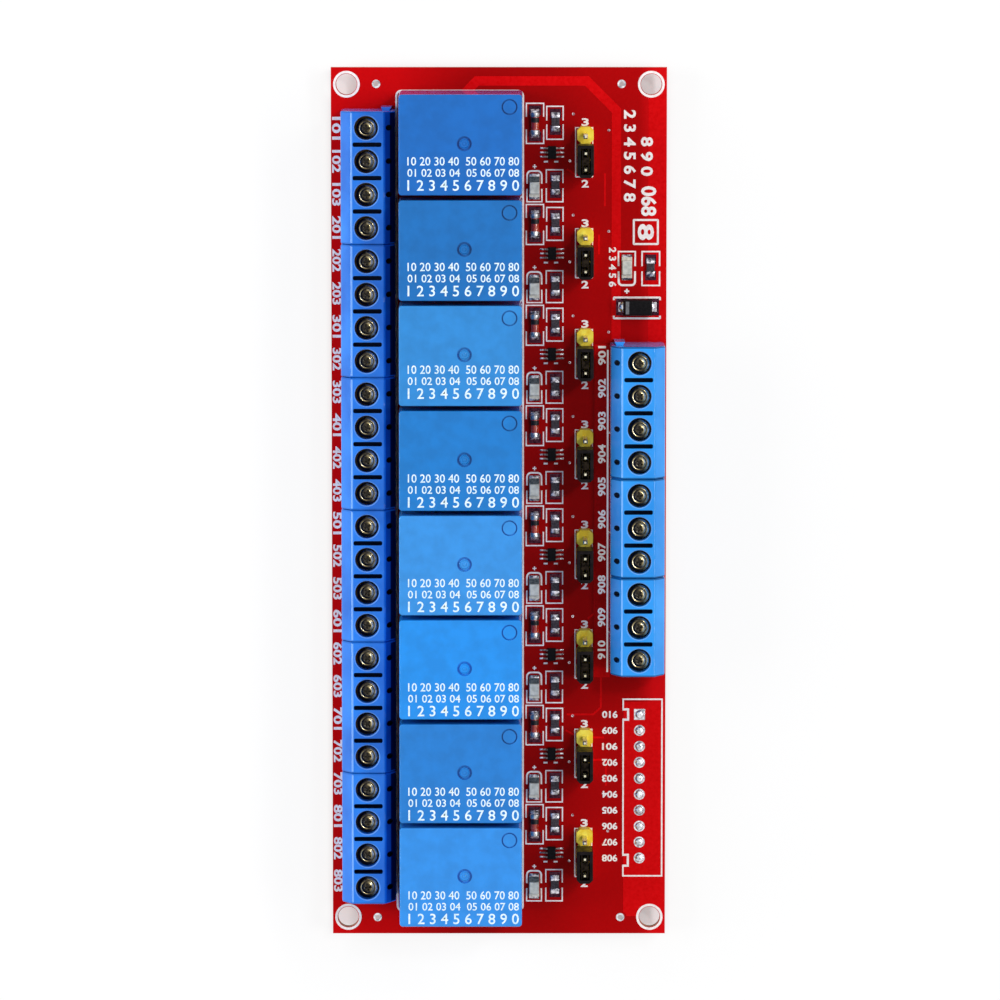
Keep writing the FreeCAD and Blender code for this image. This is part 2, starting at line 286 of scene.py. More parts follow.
def mask_material():
    """Red across the board, brighter at both sides and darker in the middle, there partly as painted shade
    beside the relays, finely mottled, and bare laminate at the cut edge.
    """
    material = surface("red_solder_mask", mask_painted_shade, mask_middle, mask_speck, (0.28, 0.4),
                       relief=0.004 * mm, shine=mask_shine)
    tree = material.node_tree
    across = spread(tree, axes_of(tree, "Object")["X"], board_low.x, board_high.x)
    width = board_high.x - board_low.x
    stops = [((x * mm - board_low.x) / width, colour(*tone)) for x, tone in mask_stops]
    speck = grain_noise(tree, mask_speck)
    mottle = ramp(tree, speck, [(0.3, grey(mask_mottle)), (0.7, white)])
    masked = blend(tree, "MULTIPLY", 1.0, ramp(tree, across, stops), mottle)
    edge = ramp(tree, speck, [(0.35, colour(*laminate_dark)), (0.65, colour(*laminate_light))])
    flat = calc(tree, "ABSOLUTE", axes_of(tree, "Normal")["Z"])
    shade(material, {"Base Color": blend(tree, "MIX", flat, edge, masked)})
    return material


def dress(node, material):
    """A node that keeps its own mesh takes its finish."""
    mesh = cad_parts[node].data
    mesh.materials.clear()
    mesh.materials.append(material)


dress("circuit_board", mask_material())


# Copper under the mask: wide supply tracks along the top and the right, and thin signal tracks. Etched from
# foil, so each stands a little above the laminate, and the red over it is lighter. Two more are painted light
# laid
# as tracks: the wide band beside the input terminals, lighter red where their blocks shade the board, and the
# short line at x 16.3, a painted reflection.
copper_rise = 0.035 * mm
copper_dark = (206, 4, 8)
copper_light = (216, 8, 14)
wide_tracks_and_painted_light = [
    ([(-5.6, 62.9), (-3.4, 65.15), (13.5, 65.15), (18.05, 60.6), (18.05, 23)], 1.45, 1.0),
    ([(24.25, 62.5), (24.25, 25)], 2.6, 0.8),
    ([(22.4, -32.5), (22.4, -63)], 6.2, 0.8),
    # Painted light, not copper: a lighter red band where the input terminal blocks shade the board.
    ([(15.95, 24), (15.95, -26.5)], 2.4, 0.5),
]
thin_tracks_and_painted_glint = [
    # The first short line, at x 16.3, is a painted reflection laid as a track.
    [(16.3, 50.9), (16.3, 46)], [(15.4, 41.5), (15.4, 38.6)], [(10.5, 51.6), (12.1, 50.6)],
    [(15.8, -24), (15.8, -31.8), (14.6, -32.9), (10.6, -32.9)],
    [(14.8, -9.4), (14.8, -17.1), (13.8, -17.9)],
    [(16.2, -36.5), (12.4, -36.5), (10.4, -35.4)], [(16.6, -44), (16.6, -40), (12.2, -40)],
]
thin_track_width = 0.3
thin_track_share = 0.6
track_step = 0.04
merge_reach = 0.0005 * mm
soft_angle = 35
mounting_inset = Vector((2.4, 2.6)) * mm
tooling_inset = Vector((6.95, 2.55)) * mm
mounting_clearing = 2.0 * mm
tooling_clearing = 0.95 * mm


def round_edges(bm, edges, size, segments=2):
    bmesh.ops.bevel(bm, geom=list(edges), offset=size, segments=segments, profile=0.5, affect="EDGES",
                    material=-1, clamp_overlap=True)


def edges_of(verts):
    return {edge for vert in verts for edge in vert.link_edges}


def edges_above(bm, height):
    return [edge for edge in bm.edges if all(vert.co.z > height for vert in edge.verts)]


def upright_edges(bm, least):
    """The edges that rise by more than a length."""
    return [edge for edge in bm.edges if abs(edge.verts[0].co.z - edge.verts[1].co.z) > least]


def add_block(bm, corner, opposite, bevel=0.0):
    """A box between two opposite corners, its edges rounded where a bevel is given."""
    low = Vector([min(pair) for pair in zip(corner, opposite)])
    high = Vector([max(pair) for pair in zip(corner, opposite)])
    verts = bmesh.ops.create_cube(bm, size=1)["verts"]
    bmesh.ops.scale(bm, vec=high - low, verts=verts)
    bmesh.ops.translate(bm, vec=(low + high) / 2, verts=verts)
    if bevel:
        round_edges(bm, edges_of(verts), bevel)
    return verts


def add_slab(bm, x, y, size, low_z, high_z, bevel=0.0):
    """A box centred on a place, between two heights."""
    half_x, half_y = size[0] / 2, size[1] / 2
    return add_block(bm, (x - half_x, y - half_y, low_z), (x + half_x, y + half_y, high_z), bevel)


def add_bar(bm, start, end, width, low_z, high_z):
    """A flat bar from one point of the board to another."""
    start, end = Vector(start), Vector(end)
    verts = bmesh.ops.create_cube(bm, size=1)["verts"]
    bmesh.ops.scale(bm, vec=((end - start).length + width * 0.5, width, high_z - low_z), verts=verts)
    turn = math.atan2(end.y - start.y, end.x - start.x)
    bmesh.ops.rotate(bm, matrix=Matrix.Rotation(turn, 3, "Z"), verts=verts)
    middle = (start + end) / 2
    bmesh.ops.translate(bm, vec=(middle.x, middle.y, (low_z + high_z) / 2), verts=verts)


def add_track(bm, points, width, share):
    """Bars along a line; each starts a hair higher than the one before, so no two tops share a plane."""
    rise = copper_rise * share
    for index in range(len(points) - 1):
        start, end = [Vector(point) * mm for point in points[index:index + 2]]
        add_bar(bm, start, end, width * mm, board_top - rise, board_top + rise * (1 + index * track_step))


def add_disc(bm, center, radius, low_z, high_z, bevel=0.0, segments=32, top_radius=None):
    """A short round post, its upper rim rounded where a bevel is given."""
    depth = high_z - low_z
    top_radius = radius if top_radius is None else top_radius
    verts = bmesh.ops.create_cone(bm, cap_ends=True, segments=segments, radius1=radius, radius2=top_radius,
                                  depth=depth)["verts"]
    bmesh.ops.translate(bm, vec=(center[0], center[1], (low_z + high_z) / 2), verts=verts)
    if bevel:
        top = high_z - depth * 0.01
        rim = [edge for edge in edges_of(verts) if all(end.co.z > top for end in edge.verts)]
        round_edges(bm, rim, bevel)


def finish_piece(name, bm, material, stands_for=(), body="board"):
    """A mesh becomes a piece: named, smoothed where its edges are soft, and riding on a body."""
    bmesh.ops.remove_doubles(bm, verts=bm.verts, dist=merge_reach)
    bmesh.ops.recalc_face_normals(bm, faces=bm.faces)
    mesh = bpy.data.meshes.new(name)
    bm.to_mesh(mesh)
    bm.free()
    mesh.shade_smooth()
    mesh.set_sharp_from_angle(angle=math.radians(soft_angle))
    mesh.materials.append(material)
    piece = bpy.data.objects.new(name, mesh)
    bpy.context.scene.collection.objects.link(piece)
    shading = piece.modifiers.new("even_shading", "WEIGHTED_NORMAL")
    shading.weight = 100
    shading.keep_sharp = True
    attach(piece, body)
    if stands_for:
        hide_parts(*stands_for)


def as_object(bm):
    bmesh.ops.recalc_face_normals(bm, faces=bm.faces)
    mesh = bpy.data.meshes.new("part")
    bm.to_mesh(mesh)
    bm.free()
    made = bpy.data.objects.new("part", mesh)
    bpy.context.scene.collection.objects.link(made)
    return made


def combined(body, other, operation):
    """A mesh joined with another, or cut by it; both are used up."""
    target = as_object(body)
    tool = as_object(other)
    step = target.modifiers.new("cut", "BOOLEAN")
    step.operation = operation
    step.solver = "EXACT"
    step.use_self = True
    step.object = tool
    view = bpy.context.evaluated_depsgraph_get()
    mesh = bpy.data.meshes.new_from_object(target.evaluated_get(view))
    result = bmesh.new()
    result.from_mesh(mesh)
    for leftover in (target, tool):
        shape = leftover.data
        bpy.data.objects.remove(leftover)
        bpy.data.meshes.remove(shape)
    bpy.data.meshes.remove(mesh)
    return result


def at_corners(inset):
    """The four places that lie an inset in from the board's corners."""
    return [(side_x * (board_high.x - inset.x), side_y * (board_high.y - inset.y))
            for side_x in (-1, 1) for side_y in (-1, 1)]


copper = bmesh.new()
for points, width, share in wide_tracks_and_painted_light:
    add_track(copper, points, width, share)
for points in thin_tracks_and_painted_glint:
    add_track(copper, points, thin_track_width, thin_track_share)
for hole, tool in zip(at_corners(mounting_inset), at_corners(tooling_inset)):
    clearing = bmesh.new()
    add_disc(clearing, hole, mounting_clearing, 0, board_top + 1 * mm, segments=48)
    add_disc(clearing, tool, tooling_clearing, 0, board_top + 1 * mm)
    copper = combined(copper, clearing, "DIFFERENCE")
copper_and_painted_light_material = surface("mask_over_copper_and_painted_light", copper_dark, copper_light, mask_speck, (0.25, 0.38),
                          relief=0.003 * mm, shine=mask_shine)
finish_piece("copper_tracks_and_painted_light", copper, copper_and_painted_light_material)


# White print on the mask: screened epoxy ink, a few hundredths of a millimetre thick. Frames round the parts,
# rings round the mounting holes, plus signs, and plain numbers. Its places are in millimetres, those of a
# channel from the top of the channel's group of parts.
ink_rise = 0.05 * mm
ink_dark = (238, 226, 226)
ink_light = (252, 248, 246)
ink_line = 0.27
number_weight = 0.03
ink_painted_glow = 0.22
header_to_top = 7.38 * mm
mounting_ring = (1.68 * mm, 2.05 * mm)
channel_frames = [
    ((4.12, -6.32), (6.97, 0.03), {"gap": (-4.08, -2.13)}),
    ((7.25, -5.68), (9.96, -0.43), {"gap": (-3.3, -2.7)}),
    ((4.21, -15.28), (6.71, -10.32), {"gap": (-13.2, -12.4), "corner": 0.75, "rounded": ("high",)}),
    ((7.19, -15.28), (9.94, -10.18), {"gap": (-13.1, -12.3)}),
    ((11.7, -11.45), (14.5, -3.72), {"corner": 0.2, "width": 0.2, "rounded": ("low",)}),
]
driver_dashes = [((6.98, -9.02), (7.48, -9.02)), ((8.56, -9.02), (9.06, -9.02))]
dash_line = 0.26
lamp_plus = ((5.5, -9.76), 0.6, 0.18)
header_numbers = [("3", -2.95), ("2", -12.4)]
header_numbers_x = 13.25
header_numbers_size = (1.2, 1.1)
board_frames = [
    ((-15.9, -63.8), (3.86, 63.79), {"corner": 0.9, "width": 0.3}),
    ((18.28, 33.6), (21.1, 39.05), {"gap": (35.9, 36.7), "corner": 0.7, "width": 0.32, "rounded": ("low",)}),
    ((21.92, 33.6), (24.84, 39.05), {"gap": (35.9, 36.7), "width": 0.32}),
    ((17.55, 28.5), (24.95, 32.0), {"gap": (29.05, 31.45), "corner": 0.2, "width": 0.3}),
    ((20.6, 39.95), (24.6, 43.95), {"corner": 0.2, "width": 0.3}),
]
power_plus = ((19.7, 32.82), 0.75, 0.24)
side_numbers = [
    ("2 3 4 5 6 7 8", (20.12, 53.65), 1.9, 14.1), ("8 9 0", (22.73, 53.57), 1.9, 6.0),
    ("2 3 4 5 6", (17.5, 36.55), 1.15, 6.1), ("068", (23.05, 46.7), 2.4, 4.6),
    ("8", (22.6, 41.95), 2.5, 2.5),
]
connector_low = Vector((19.15, -58.32))
connector_high = Vector((25.4, -30.41))
connector_line = 0.33
connector_notch = 0.88
connector_notch_spans = [(-33.72, -32.11), (-56.61, -54.9)]
connector_first = Vector((21.8, -32.9))
connector_pitch = 2.5
connector_pins = 10
terminal_spacing = 5.08
output_words = ["%d0%d" % (block, contact) for block in range(1, 9) for contact in range(1, 4)]
input_line = ((16.78, 23.7), (16.78, -26.2))


def add_ink(bm, low, high, rise=1.0):
    """A printed rectangle between two corners, in a share of the full thickness of ink."""
    add_block(bm, (low[0] * mm, low[1] * mm, board_top - ink_rise * rise),
              (high[0] * mm, high[1] * mm, board_top + ink_rise * rise))


def add_dash(bm, start, end, origin_y=0.0):
    start, end = [Vector((x, y + origin_y)) * mm for x, y in (start, end)]
    add_bar(bm, start, end, dash_line * mm, board_top - ink_rise, board_top + ink_rise)


def add_plus(bm, place, size, width, origin_y=0.0):
    middle = Vector((place[0], place[1] + origin_y))
    for arm, rise in ((Vector((size, width)), 1.0), (Vector((width, size)), 0.9)):
        add_ink(bm, middle - arm / 2, middle + arm / 2, rise)


def add_mesh(bm, other):
    """Another mesh is added to this one, and is used up."""
    mesh = bpy.data.meshes.new("added")
    other.to_mesh(mesh)
    other.free()
    bm.from_mesh(mesh)
    bpy.data.meshes.remove(mesh)


def draw_out(bm, faces, reach):
    """Flat faces are drawn out into a solid."""
    made = bmesh.ops.extrude_face_region(bm, geom=faces)["geom"]
    far = [item for item in made if isinstance(item, bmesh.types.BMVert)]
    bmesh.ops.translate(bm, vec=reach, verts=far)


def add_frame(bm, low, high, origin_y=0.0, corner=0.0, gap=None, width=ink_line, rounded=("low", "high")):
    """A printed frame between two corners; its upright sides are open between the two heights of the gap."""
    flat = bmesh.new()
    low, high = Vector(low), Vector(high)
    size, middle = high - low, (low + high) / 2
    bmesh.ops.create_grid(flat, x_segments=1, y_segments=1, size=0.5)
    bmesh.ops.scale(flat, vec=(size.x, size.y, 1), verts=flat.verts)
    bmesh.ops.translate(flat, vec=(middle.x, middle.y, 0), verts=flat.verts)
    if corner:
        ends = [vert for vert in flat.verts if ("low" if vert.co.y < middle.y else "high") in rounded]
        bmesh.ops.bevel(flat, geom=ends, offset=corner, segments=4, profile=0.5, affect="VERTICES",
                        material=-1)
    inner = list(flat.faces)
    bmesh.ops.inset_individual(flat, faces=inner, thickness=width)
    bmesh.ops.delete(flat, geom=inner, context="FACES")
    if gap:
        for height in gap:
            everything = flat.verts[:] + flat.edges[:] + flat.faces[:]
            bmesh.ops.bisect_plane(flat, geom=everything, plane_co=(0, height, 0), plane_no=(0, 1, 0))
        opened = [face for face in flat.faces if gap[0] < face.calc_center_median().y < gap[1]]
        bmesh.ops.delete(flat, geom=opened, context="FACES")
    draw_out(flat, flat.faces[:], (0, 0, 2))
    lifted = Matrix.Translation((0, origin_y * mm, board_top - ink_rise))
    bmesh.ops.transform(flat, matrix=lifted @ Matrix.Diagonal((mm, mm, ink_rise, 1)), verts=flat.verts)
    add_mesh(bm, flat)


def add_numbers(bm, words, place, height, length, turn=0.0, base_z=board_top, rise=ink_rise,
                weight=number_weight):
    """Plain numbers, centred on a place in millimetres, as a thin raised layer of ink."""
    text = bpy.data.curves.new("numbers", "FONT")
    text.body = words
    text.size = 1.0
    text.resolution_u = 3
    text.extrude = 0.5
    text.offset = weight
    holder = bpy.data.objects.new("numbers", text)
    mesh = bpy.data.meshes.new_from_object(holder)
    corners = [vert.co.copy() for vert in mesh.vertices]
    low = Vector([min(c[i] for c in corners) for i in range(3)])
    high = Vector([max(c[i] for c in corners) for i in range(3)])
    sized = Matrix.Diagonal((length / (high.x - low.x) * mm, height / (high.y - low.y) * mm, 2 * rise, 1))
    placed = Matrix.Translation((place[0] * mm, place[1] * mm, base_z)) @ Matrix.Rotation(turn, 4, "Z")
    mesh.transform(placed @ sized @ Matrix.Translation(-(low + high) / 2))
    bm.from_mesh(mesh)
    bpy.data.objects.remove(holder)
    bpy.data.meshes.remove(mesh)


def add_number_column(bm, words, x, first_y, pitch, height, length, turn):
    for index, number in enumerate(words):
        add_numbers(bm, str(number), (x, first_y - index * pitch), height, length, turn)


def turn_shape(bm, points, center, axis, steps, closed=False):
    """A shape turned all the way round an axis, from a line of points or a closed loop of them."""
    verts = [bm.verts.new(point) for point in points]
    ends = verts[1:] + verts[:1] if closed else verts[1:]
    edges = [bm.edges.new(pair) for pair in zip(verts, ends)]
    bmesh.ops.spin(bm, geom=verts + edges, cent=center, axis=axis, angle=math.tau, steps=steps,
                   use_merge=True)


def turn_upright(bm, center, outline, steps, closed=False):
    """A shape turned about an upright line, from its half outline of radius and height."""
    points = [(center[0] + radius, center[1], z) for radius, z in outline]
    turn_shape(bm, points, (center[0], center[1], 0), (0, 0, 1), steps, closed)


def add_ring(bm, center, inner, outer, low_z, high_z, steps=48):
    """A flat ring, turned from a small rectangle."""
    section = [(inner, low_z), (outer, low_z), (outer, high_z), (inner, high_z)]
    turn_upright(bm, center, section, steps, closed=True)


def channel_top(channel):
    """The height on the board at which a channel's group of small parts starts, in millimetres."""
    low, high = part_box("header_body_%d" % channel)
    return ((low.y + high.y) / 2 + header_to_top) / mm


def add_connector_outline(bm):
    """The frame of the connector, stepped inwards at each of its two notches."""
    outline = bmesh.new()
    add_frame(outline, connector_low, connector_high, width=connector_line)
    notches = bmesh.new()
    inner_x = connector_low.x + connector_line
    for low_y, high_y in connector_notch_spans:
        add_ink(notches, (connector_low.x - 1, low_y), (inner_x + 0.01, high_y), 4)
    add_mesh(bm, combined(outline, notches, "DIFFERENCE"))
    step_x = connector_low.x + connector_notch
    half = connector_line / 2
    for low_y, high_y in connector_notch_spans:
        add_ink(bm, (step_x - half, low_y - half), (step_x + half, high_y + half))
        for step_y in (low_y, high_y):
            add_ink(bm, (connector_low.x, step_y - half), (step_x, step_y + half), 0.9)


ink = bmesh.new()
for hole in at_corners(mounting_inset):
    add_ring(ink, hole, *mounting_ring, board_top - ink_rise, board_top + ink_rise)
for low, high, look in board_frames:
    add_frame(ink, low, high, **look)
add_plus(ink, *power_plus)
add_connector_outline(ink)
for channel in range(1, 9):
    start = channel_top(channel)
    for low, high, look in channel_frames:
        add_frame(ink, low, high, start, **look)
    for dash in driver_dashes:
        add_dash(ink, *dash, start)
    add_plus(ink, *lamp_plus, start)
    for number, y in header_numbers:
        add_numbers(ink, number, (header_numbers_x, start + y), *header_numbers_size)
for words, place, height, length in side_numbers:
    add_numbers(ink, words, place, height, length, -math.pi / 2)
add_number_column(ink, output_words, -24.97, 57.9, terminal_spacing, 1.35, 3.5, -math.pi / 2)
add_number_column(ink, [910, 909, *range(901, 909)], 17.2, connector_first.y, connector_pitch, 1.1, 2.4,
                  math.pi)
finish_ink = surface("screened_ink", ink_dark, ink_light, 0.5 * mm, (0.45, 0.6), relief=0.002 * mm)
finish_piece("white_print", ink, finish_ink)

# The numbers and line beside the input terminals glow a little, though they are print: painted light that
# lifts them out of the shade of the terminal blocks.
painted_glow_ink = surface("painted_glow_ink", ink_dark, ink_light, 0.5 * mm, (0.45, 0.6), relief=0.002 * mm)
shade(painted_glow_ink, {"Emission Color": white, "Emission Strength": ink_painted_glow})
ink = bmesh.new()
add_number_column(ink, range(901, 911), 15.9, 22.9, terminal_spacing, 1.22, 2.95, math.pi / 2)
add_dash(ink, *input_line)
finish_piece("input_numbers", ink, painted_glow_ink)


# The relays. Each is a sealed blue moulded case with a little draft, standing on two feet, with a round nub
# and a round mould mark on its lid. Three lines of white numbers are stamped on the lid.
# Each relay's blue is a little lighter or darker than the next: painted sheen, for how each lid, at its own
# small tilt, catches the light.
relay_blues_with_painted_sheen = [
    (25, 105, 190), (26, 110, 186), (48, 137, 212), (28, 122, 202),
    (56, 145, 225), (34, 142, 233), (36, 124, 207), (50, 142, 229),
]
relay_foot = 0.3 * mm
relay_draft = 0.12 * mm
relay_corner = 0.5 * mm
relay_lid_edge = 0.2 * mm
foot_width = 1.2 * mm
nub_place = Vector((0.6, 0.2)) * mm
nub_radius = 0.8 * mm
nub_rise = 0.35 * mm
nub_fit = 0.02 * mm
nub_root = 0.1 * mm
nub_shoulder = 0.12 * mm
nub_narrowing = 0.72
nub_tip = 0.34
nub_tip_edge = 0.08 * mm
mark_place = Vector((7.45, 5.75)) * mm
mark_radius = 1.0 * mm
nub_groove = 0.32 * mm
mark_groove = 0.2 * mm
groove_depth = 0.4 * mm
stamp_lines = [("10 20 30 40  50 60 70 80", -2.45, 1.3), ("01 02 03 04  05 06 07 08", -4.2, 1.2),
               ("1 2 3 4 5 6 7 8 9 0", -6.1, 1.65)]
stamp_length = 16.9
stamp_shift = 0.45
stamp_rises = [0.0, 0.0, 0.4, -0.2, -0.2, -0.2, -0.28, -0.3]
stamp_rise = 0.02 * mm
stamp_weight = 0.008
stamp_dark = (196, 226, 244)
stamp_light = (236, 248, 255)


def relay_mesh(low, high):
    case = bmesh.new()
    lid_z = high.z - nub_rise
    middle = (low + high) / 2
    verts = add_block(case, (low.x, low.y, low.z + relay_foot), (high.x, high.y, lid_z))
    lid = [vert for vert in verts if vert.co.z > middle.z]
    share = 1 - relay_draft * 2 / (high.y - low.y)
    bmesh.ops.scale(case, vec=(share, share, 1), space=Matrix.Translation(-middle), verts=lid)
    round_edges(case, upright_edges(case, relay_lid_edge), relay_corner, 4)
    round_edges(case, edges_above(case, lid_z - relay_lid_edge / 10), relay_lid_edge, 3)
    foot = (foot_width, high.y - low.y - 2 * relay_corner)
    for end in (-1, 1):
        foot_x = middle.x + end * ((high.x - low.x - foot_width) / 2 - relay_corner)
        add_slab(case, foot_x, middle.y, foot, low.z, low.z + relay_foot * 1.5)
    nub = middle.xy + nub_place
    mark = middle.xy + mark_place
    grooves = bmesh.new()
    for center, radius, width in ((nub, nub_radius, nub_groove), (mark, mark_radius, mark_groove)):
        add_ring(grooves, center, radius, radius + width, lid_z - groove_depth, lid_z + groove_depth, 40)
    case = combined(case, grooves, "DIFFERENCE")
    add_disc(case, nub, nub_radius - nub_fit, lid_z - nub_root, high.z - nub_shoulder,
             top_radius=nub_radius * nub_narrowing)
    add_disc(case, nub, nub_radius * nub_tip, lid_z, high.z, bevel=nub_tip_edge)
    return case


stamps = bmesh.new()
for number, (blue, lift) in enumerate(zip(relay_blues_with_painted_sheen, stamp_rises), start=1):
    node = "relay_%d" % number
    low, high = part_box(node)
    darker = [value * 0.94 for value in blue]
    plastic = surface("relay_blue_%d" % number, darker, blue, 2.2 * mm, (0.04, 0.09))
    finish_piece("relay_case_%d" % number, relay_mesh(low, high), plastic, [node])
    middle = (low + high) / 2 / mm
    for words, drop, height in stamp_lines:
        place = (middle.x + stamp_shift, middle.y + drop + lift)
        add_numbers(stamps, words, place, height, stamp_length, base_z=high.z - nub_rise,
                    rise=stamp_rise, weight=stamp_weight)
stamp_material = surface("stamped_white", stamp_dark, stamp_light, 0.4 * mm, (0.5, 0.65))
finish_piece("relay_numbers", stamps, stamp_material)


# Leads and pins. The relay leads are tinned copper strip, the header pins are gilded square wire with pyramid
# tips, and the terminal clamps are folded brass frames, each with its own solder lead. The clips inside the
# jumper caps are sprung bronze strip.
tin_dark = (150, 150, 152)
tin_light = (206, 206, 208)
gilt_dark = (196, 186, 150)
gilt_light = (240, 236, 214)
# The clamp brass is given far darker than bare brass: painted shade, for clamps deep in the wells and behind
# the wire windows.
brass_painted_shade_dark = (30, 23, 12)
brass_painted_shade_light = (78, 60, 31)
# The clip bronze is given almost black: painted shade, for clips inside the black caps.
bronze_painted_shade_dark = (12, 10, 9)
bronze_painted_shade_light = (44, 37, 30)
tin_material = surface("tinned_copper", tin_dark, tin_light, 0.6 * mm, (0.25, 0.4), metallic=1.0,
                       relief=0.01 * mm)
gilt_material = surface("gilded_wire", gilt_dark, gilt_light, 0.4 * mm, (0.2, 0.35), metallic=1.0)
brass_painted_shade_material = surface("clamp_brass", brass_painted_shade_dark, brass_painted_shade_light, 0.8 * mm, (0.25, 0.42), metallic=1.0,
                         relief=0.008 * mm)
bronze_painted_shade_material = surface("clip_bronze_painted_shade", bronze_painted_shade_dark, bronze_painted_shade_light, 0.5 * mm, (0.2, 0.35), metallic=1.0)
dress("relay_leads", tin_material)
dress("header_pins", gilt_material)
dress("output_terminal_clamps", brass_painted_shade_material)
dress("input_terminal_clamps", brass_painted_shade_material)
for number in range(1, 9):
    dress("jumper_clip_%d" % number, bronze_painted_shade_material)


# The screw terminals. Blue moulded blocks of three or four poles, dovetailed end to end: a flat top between
# two slopes, a round well over each screw, a slot between poles, and a flared window in front for the wire.
terminal_pitch = terminal_spacing * mm
terminal_front = 3.95 * mm
terminal_profile = [(3.95, 0), (3.95, 7.6), (2.4, 10), (-2.8, 10), (-3.6, 8.45), (-4.35, 7), (-4.35, 0)]
terminal_foot = 0.65 * mm
profile_round = 0.28 * mm
well_radius = 1.82 * mm
well_rim = 0.16 * mm
well_lap = 0.1 * mm
pocket_top = 6.5 * mm
pocket_size = Vector((4.7, 3.7)) * mm
slot_size = Vector((4.4, 0.68, 3.0)) * mm
slot_shift = -0.15 * mm
slot_end = 0.24 * mm
window_size = Vector((3.0, 3.6)) * mm
window_flare = 0.45 * mm
window_lap = 0.2 * mm
window_middle = 3.9 * mm
test_hole_place = -3.42 * mm
test_hole_radius = 0.44 * mm
test_hole_floor = 5.2 * mm
dovetail_outline = [(-0.5, -0.4), (-0.5, 0), (-0.8, 0.5), (0.8, 0.5), (0.5, 0), (0.5, -0.4)]
dovetail_place = -3.0
dovetail_top = 6.6
dovetail_gap = 0.05
overshoot = 0.5 * mm
ledge_place = -3.6 * mm
output_dark = (16, 104, 208)
output_light = (34, 128, 234)
input_dark = (26, 136, 224)
input_light = (44, 154, 242)
# Painted light and shade for the blocks: a deep blue where shade falls in slots, holes, seams and beside the
# relays, and a pale blue as painted highlight on rims and edges.
terminal_painted_shade = (0, 12, 60)
terminal_highlight = (150, 200, 255)
rim_highlight_tone = 0.35
edge_highlight_tone = 0.45
hollow_shade_tone = -0.85
terminal_shine = 0.3
# Per row: the output blocks' rear slope lies in painted shade from the relays, the input blocks' is lit a
# little.
row_light_and_shade = {
    "output": {"slope": -0.38, "ledge": -0.97, "hole": -0.95, "seam": -0.2},
    "input": {"slope": 0.1, "ledge": 0.1, "hole": -0.55, "seam": -0.6},
}


def add_prism(bm, outline, reach):
    """A flat outline drawn out into a solid."""
    face = bm.faces.new([bm.verts.new(point) for point in outline])
    draw_out(bm, [face], reach)


def block_body(row_x, facing, low_y, high_y):
    """The block without its holes, its long edges rounded."""
    body = bmesh.new()
    outline = [(row_x + facing * u * mm, low_y, board_top + z * mm) for u, z in terminal_profile]
    add_prism(body, outline, (0, high_y - low_y, 0))
    bmesh.ops.recalc_face_normals(body, faces=body.faces)
    upper = [edge for edge in body.edges if edge.calc_face_angle() > 0.1
             and any(vert.co.z > board_top + terminal_foot for vert in edge.verts)]
    round_edges(body, upper, profile_round)
    return body


def add_dovetail(bm, row_x, facing, end_y, grow):
    outline = []
    for u, reach in dovetail_outline:
        out_x = dovetail_place + u + math.copysign(grow, u)
        outline.append((row_x + facing * out_x * mm, end_y + (reach + grow) * mm, board_top))
    add_prism(bm, outline, (0, 0, (dovetail_top + grow) * mm))


def add_pole_cuts(bm, row_x, facing, y):
    """The well with its chamfered rim, the clamp pocket, the wire window and the test hole of one pole."""
    top_z = cad_terminal_top
    pocket_z = board_top + pocket_top
    add_disc(bm, (row_x, y), well_radius, pocket_z - well_lap, top_z + overshoot, segments=40)
    add_disc(bm, (row_x, y), well_radius, top_z - well_rim, top_z + well_rim, segments=40,
             top_radius=well_radius + 2 * well_rim)
    add_slab(bm, row_x, y, pocket_size, board_top - overshoot, pocket_z)
    window = add_block(bm, (0, -window_size.x / 2, -window_size.y / 2),
                       (1, window_size.x / 2, window_size.y / 2))
    outer = [vert for vert in window if vert.co.x > 0.5]
    flare = 1 + 2 * window_flare / window_size.x
    bmesh.ops.scale(bm, vec=(1, flare, flare), verts=outer)
    pocket_end = pocket_size.x / 2 - window_lap
    window_length = terminal_front + window_lap - pocket_end
    bmesh.ops.scale(bm, vec=(window_length, 1, 1), verts=window)
    bmesh.ops.translate(bm, vec=(pocket_end, 0, board_top + window_middle), verts=window)
    bmesh.ops.scale(bm, vec=(facing, 1, 1), verts=window)
    bmesh.ops.translate(bm, vec=(row_x, y, 0), verts=window)
    test_hole = (row_x + facing * test_hole_place, y)
    add_disc(bm, test_hole, test_hole_radius, board_top + test_hole_floor, top_z + overshoot, segments=16)


def add_slot_cut(bm, row_x, facing, y):
    verts = add_slab(bm, row_x + facing * slot_shift, y, slot_size, cad_terminal_top - slot_size.z,
                     cad_terminal_top + overshoot)
    upright = [edge for edge in edges_of(verts)
               if abs(edge.verts[0].co.z - edge.verts[1].co.z) > slot_size.z]
    round_edges(bm, upright, slot_end, 3)


def terminal_plastic(name, dark, light):
    """Painted light and shade: faces marked below nought go towards a deep blue without shine, as painted
    shade, and those above it towards a pale one, as painted highlight.
    """
    material = surface(name, dark, light, 9 * mm, (0.08, 0.16), relief=0.002 * mm)
    tree = material.node_tree
    mark = add_node(tree, "Attribute", {}, attribute_name="tone").outputs["Fac"]
    base = tree.nodes["Principled BSDF"].inputs["Base Color"].links[0].from_socket
    for sign, tone in ((1, terminal_highlight), (-1, terminal_painted_shade)):
        base = blend(tree, "MIX", calc(tree, "MULTIPLY", mark, sign, clamp=True), base, colour(*tone))
    gleam = spread(tree, mark, -1, 0, 0, terminal_shine)
    shade(material, {"Base Color": base, "Specular IOR Level": gleam})
    return material


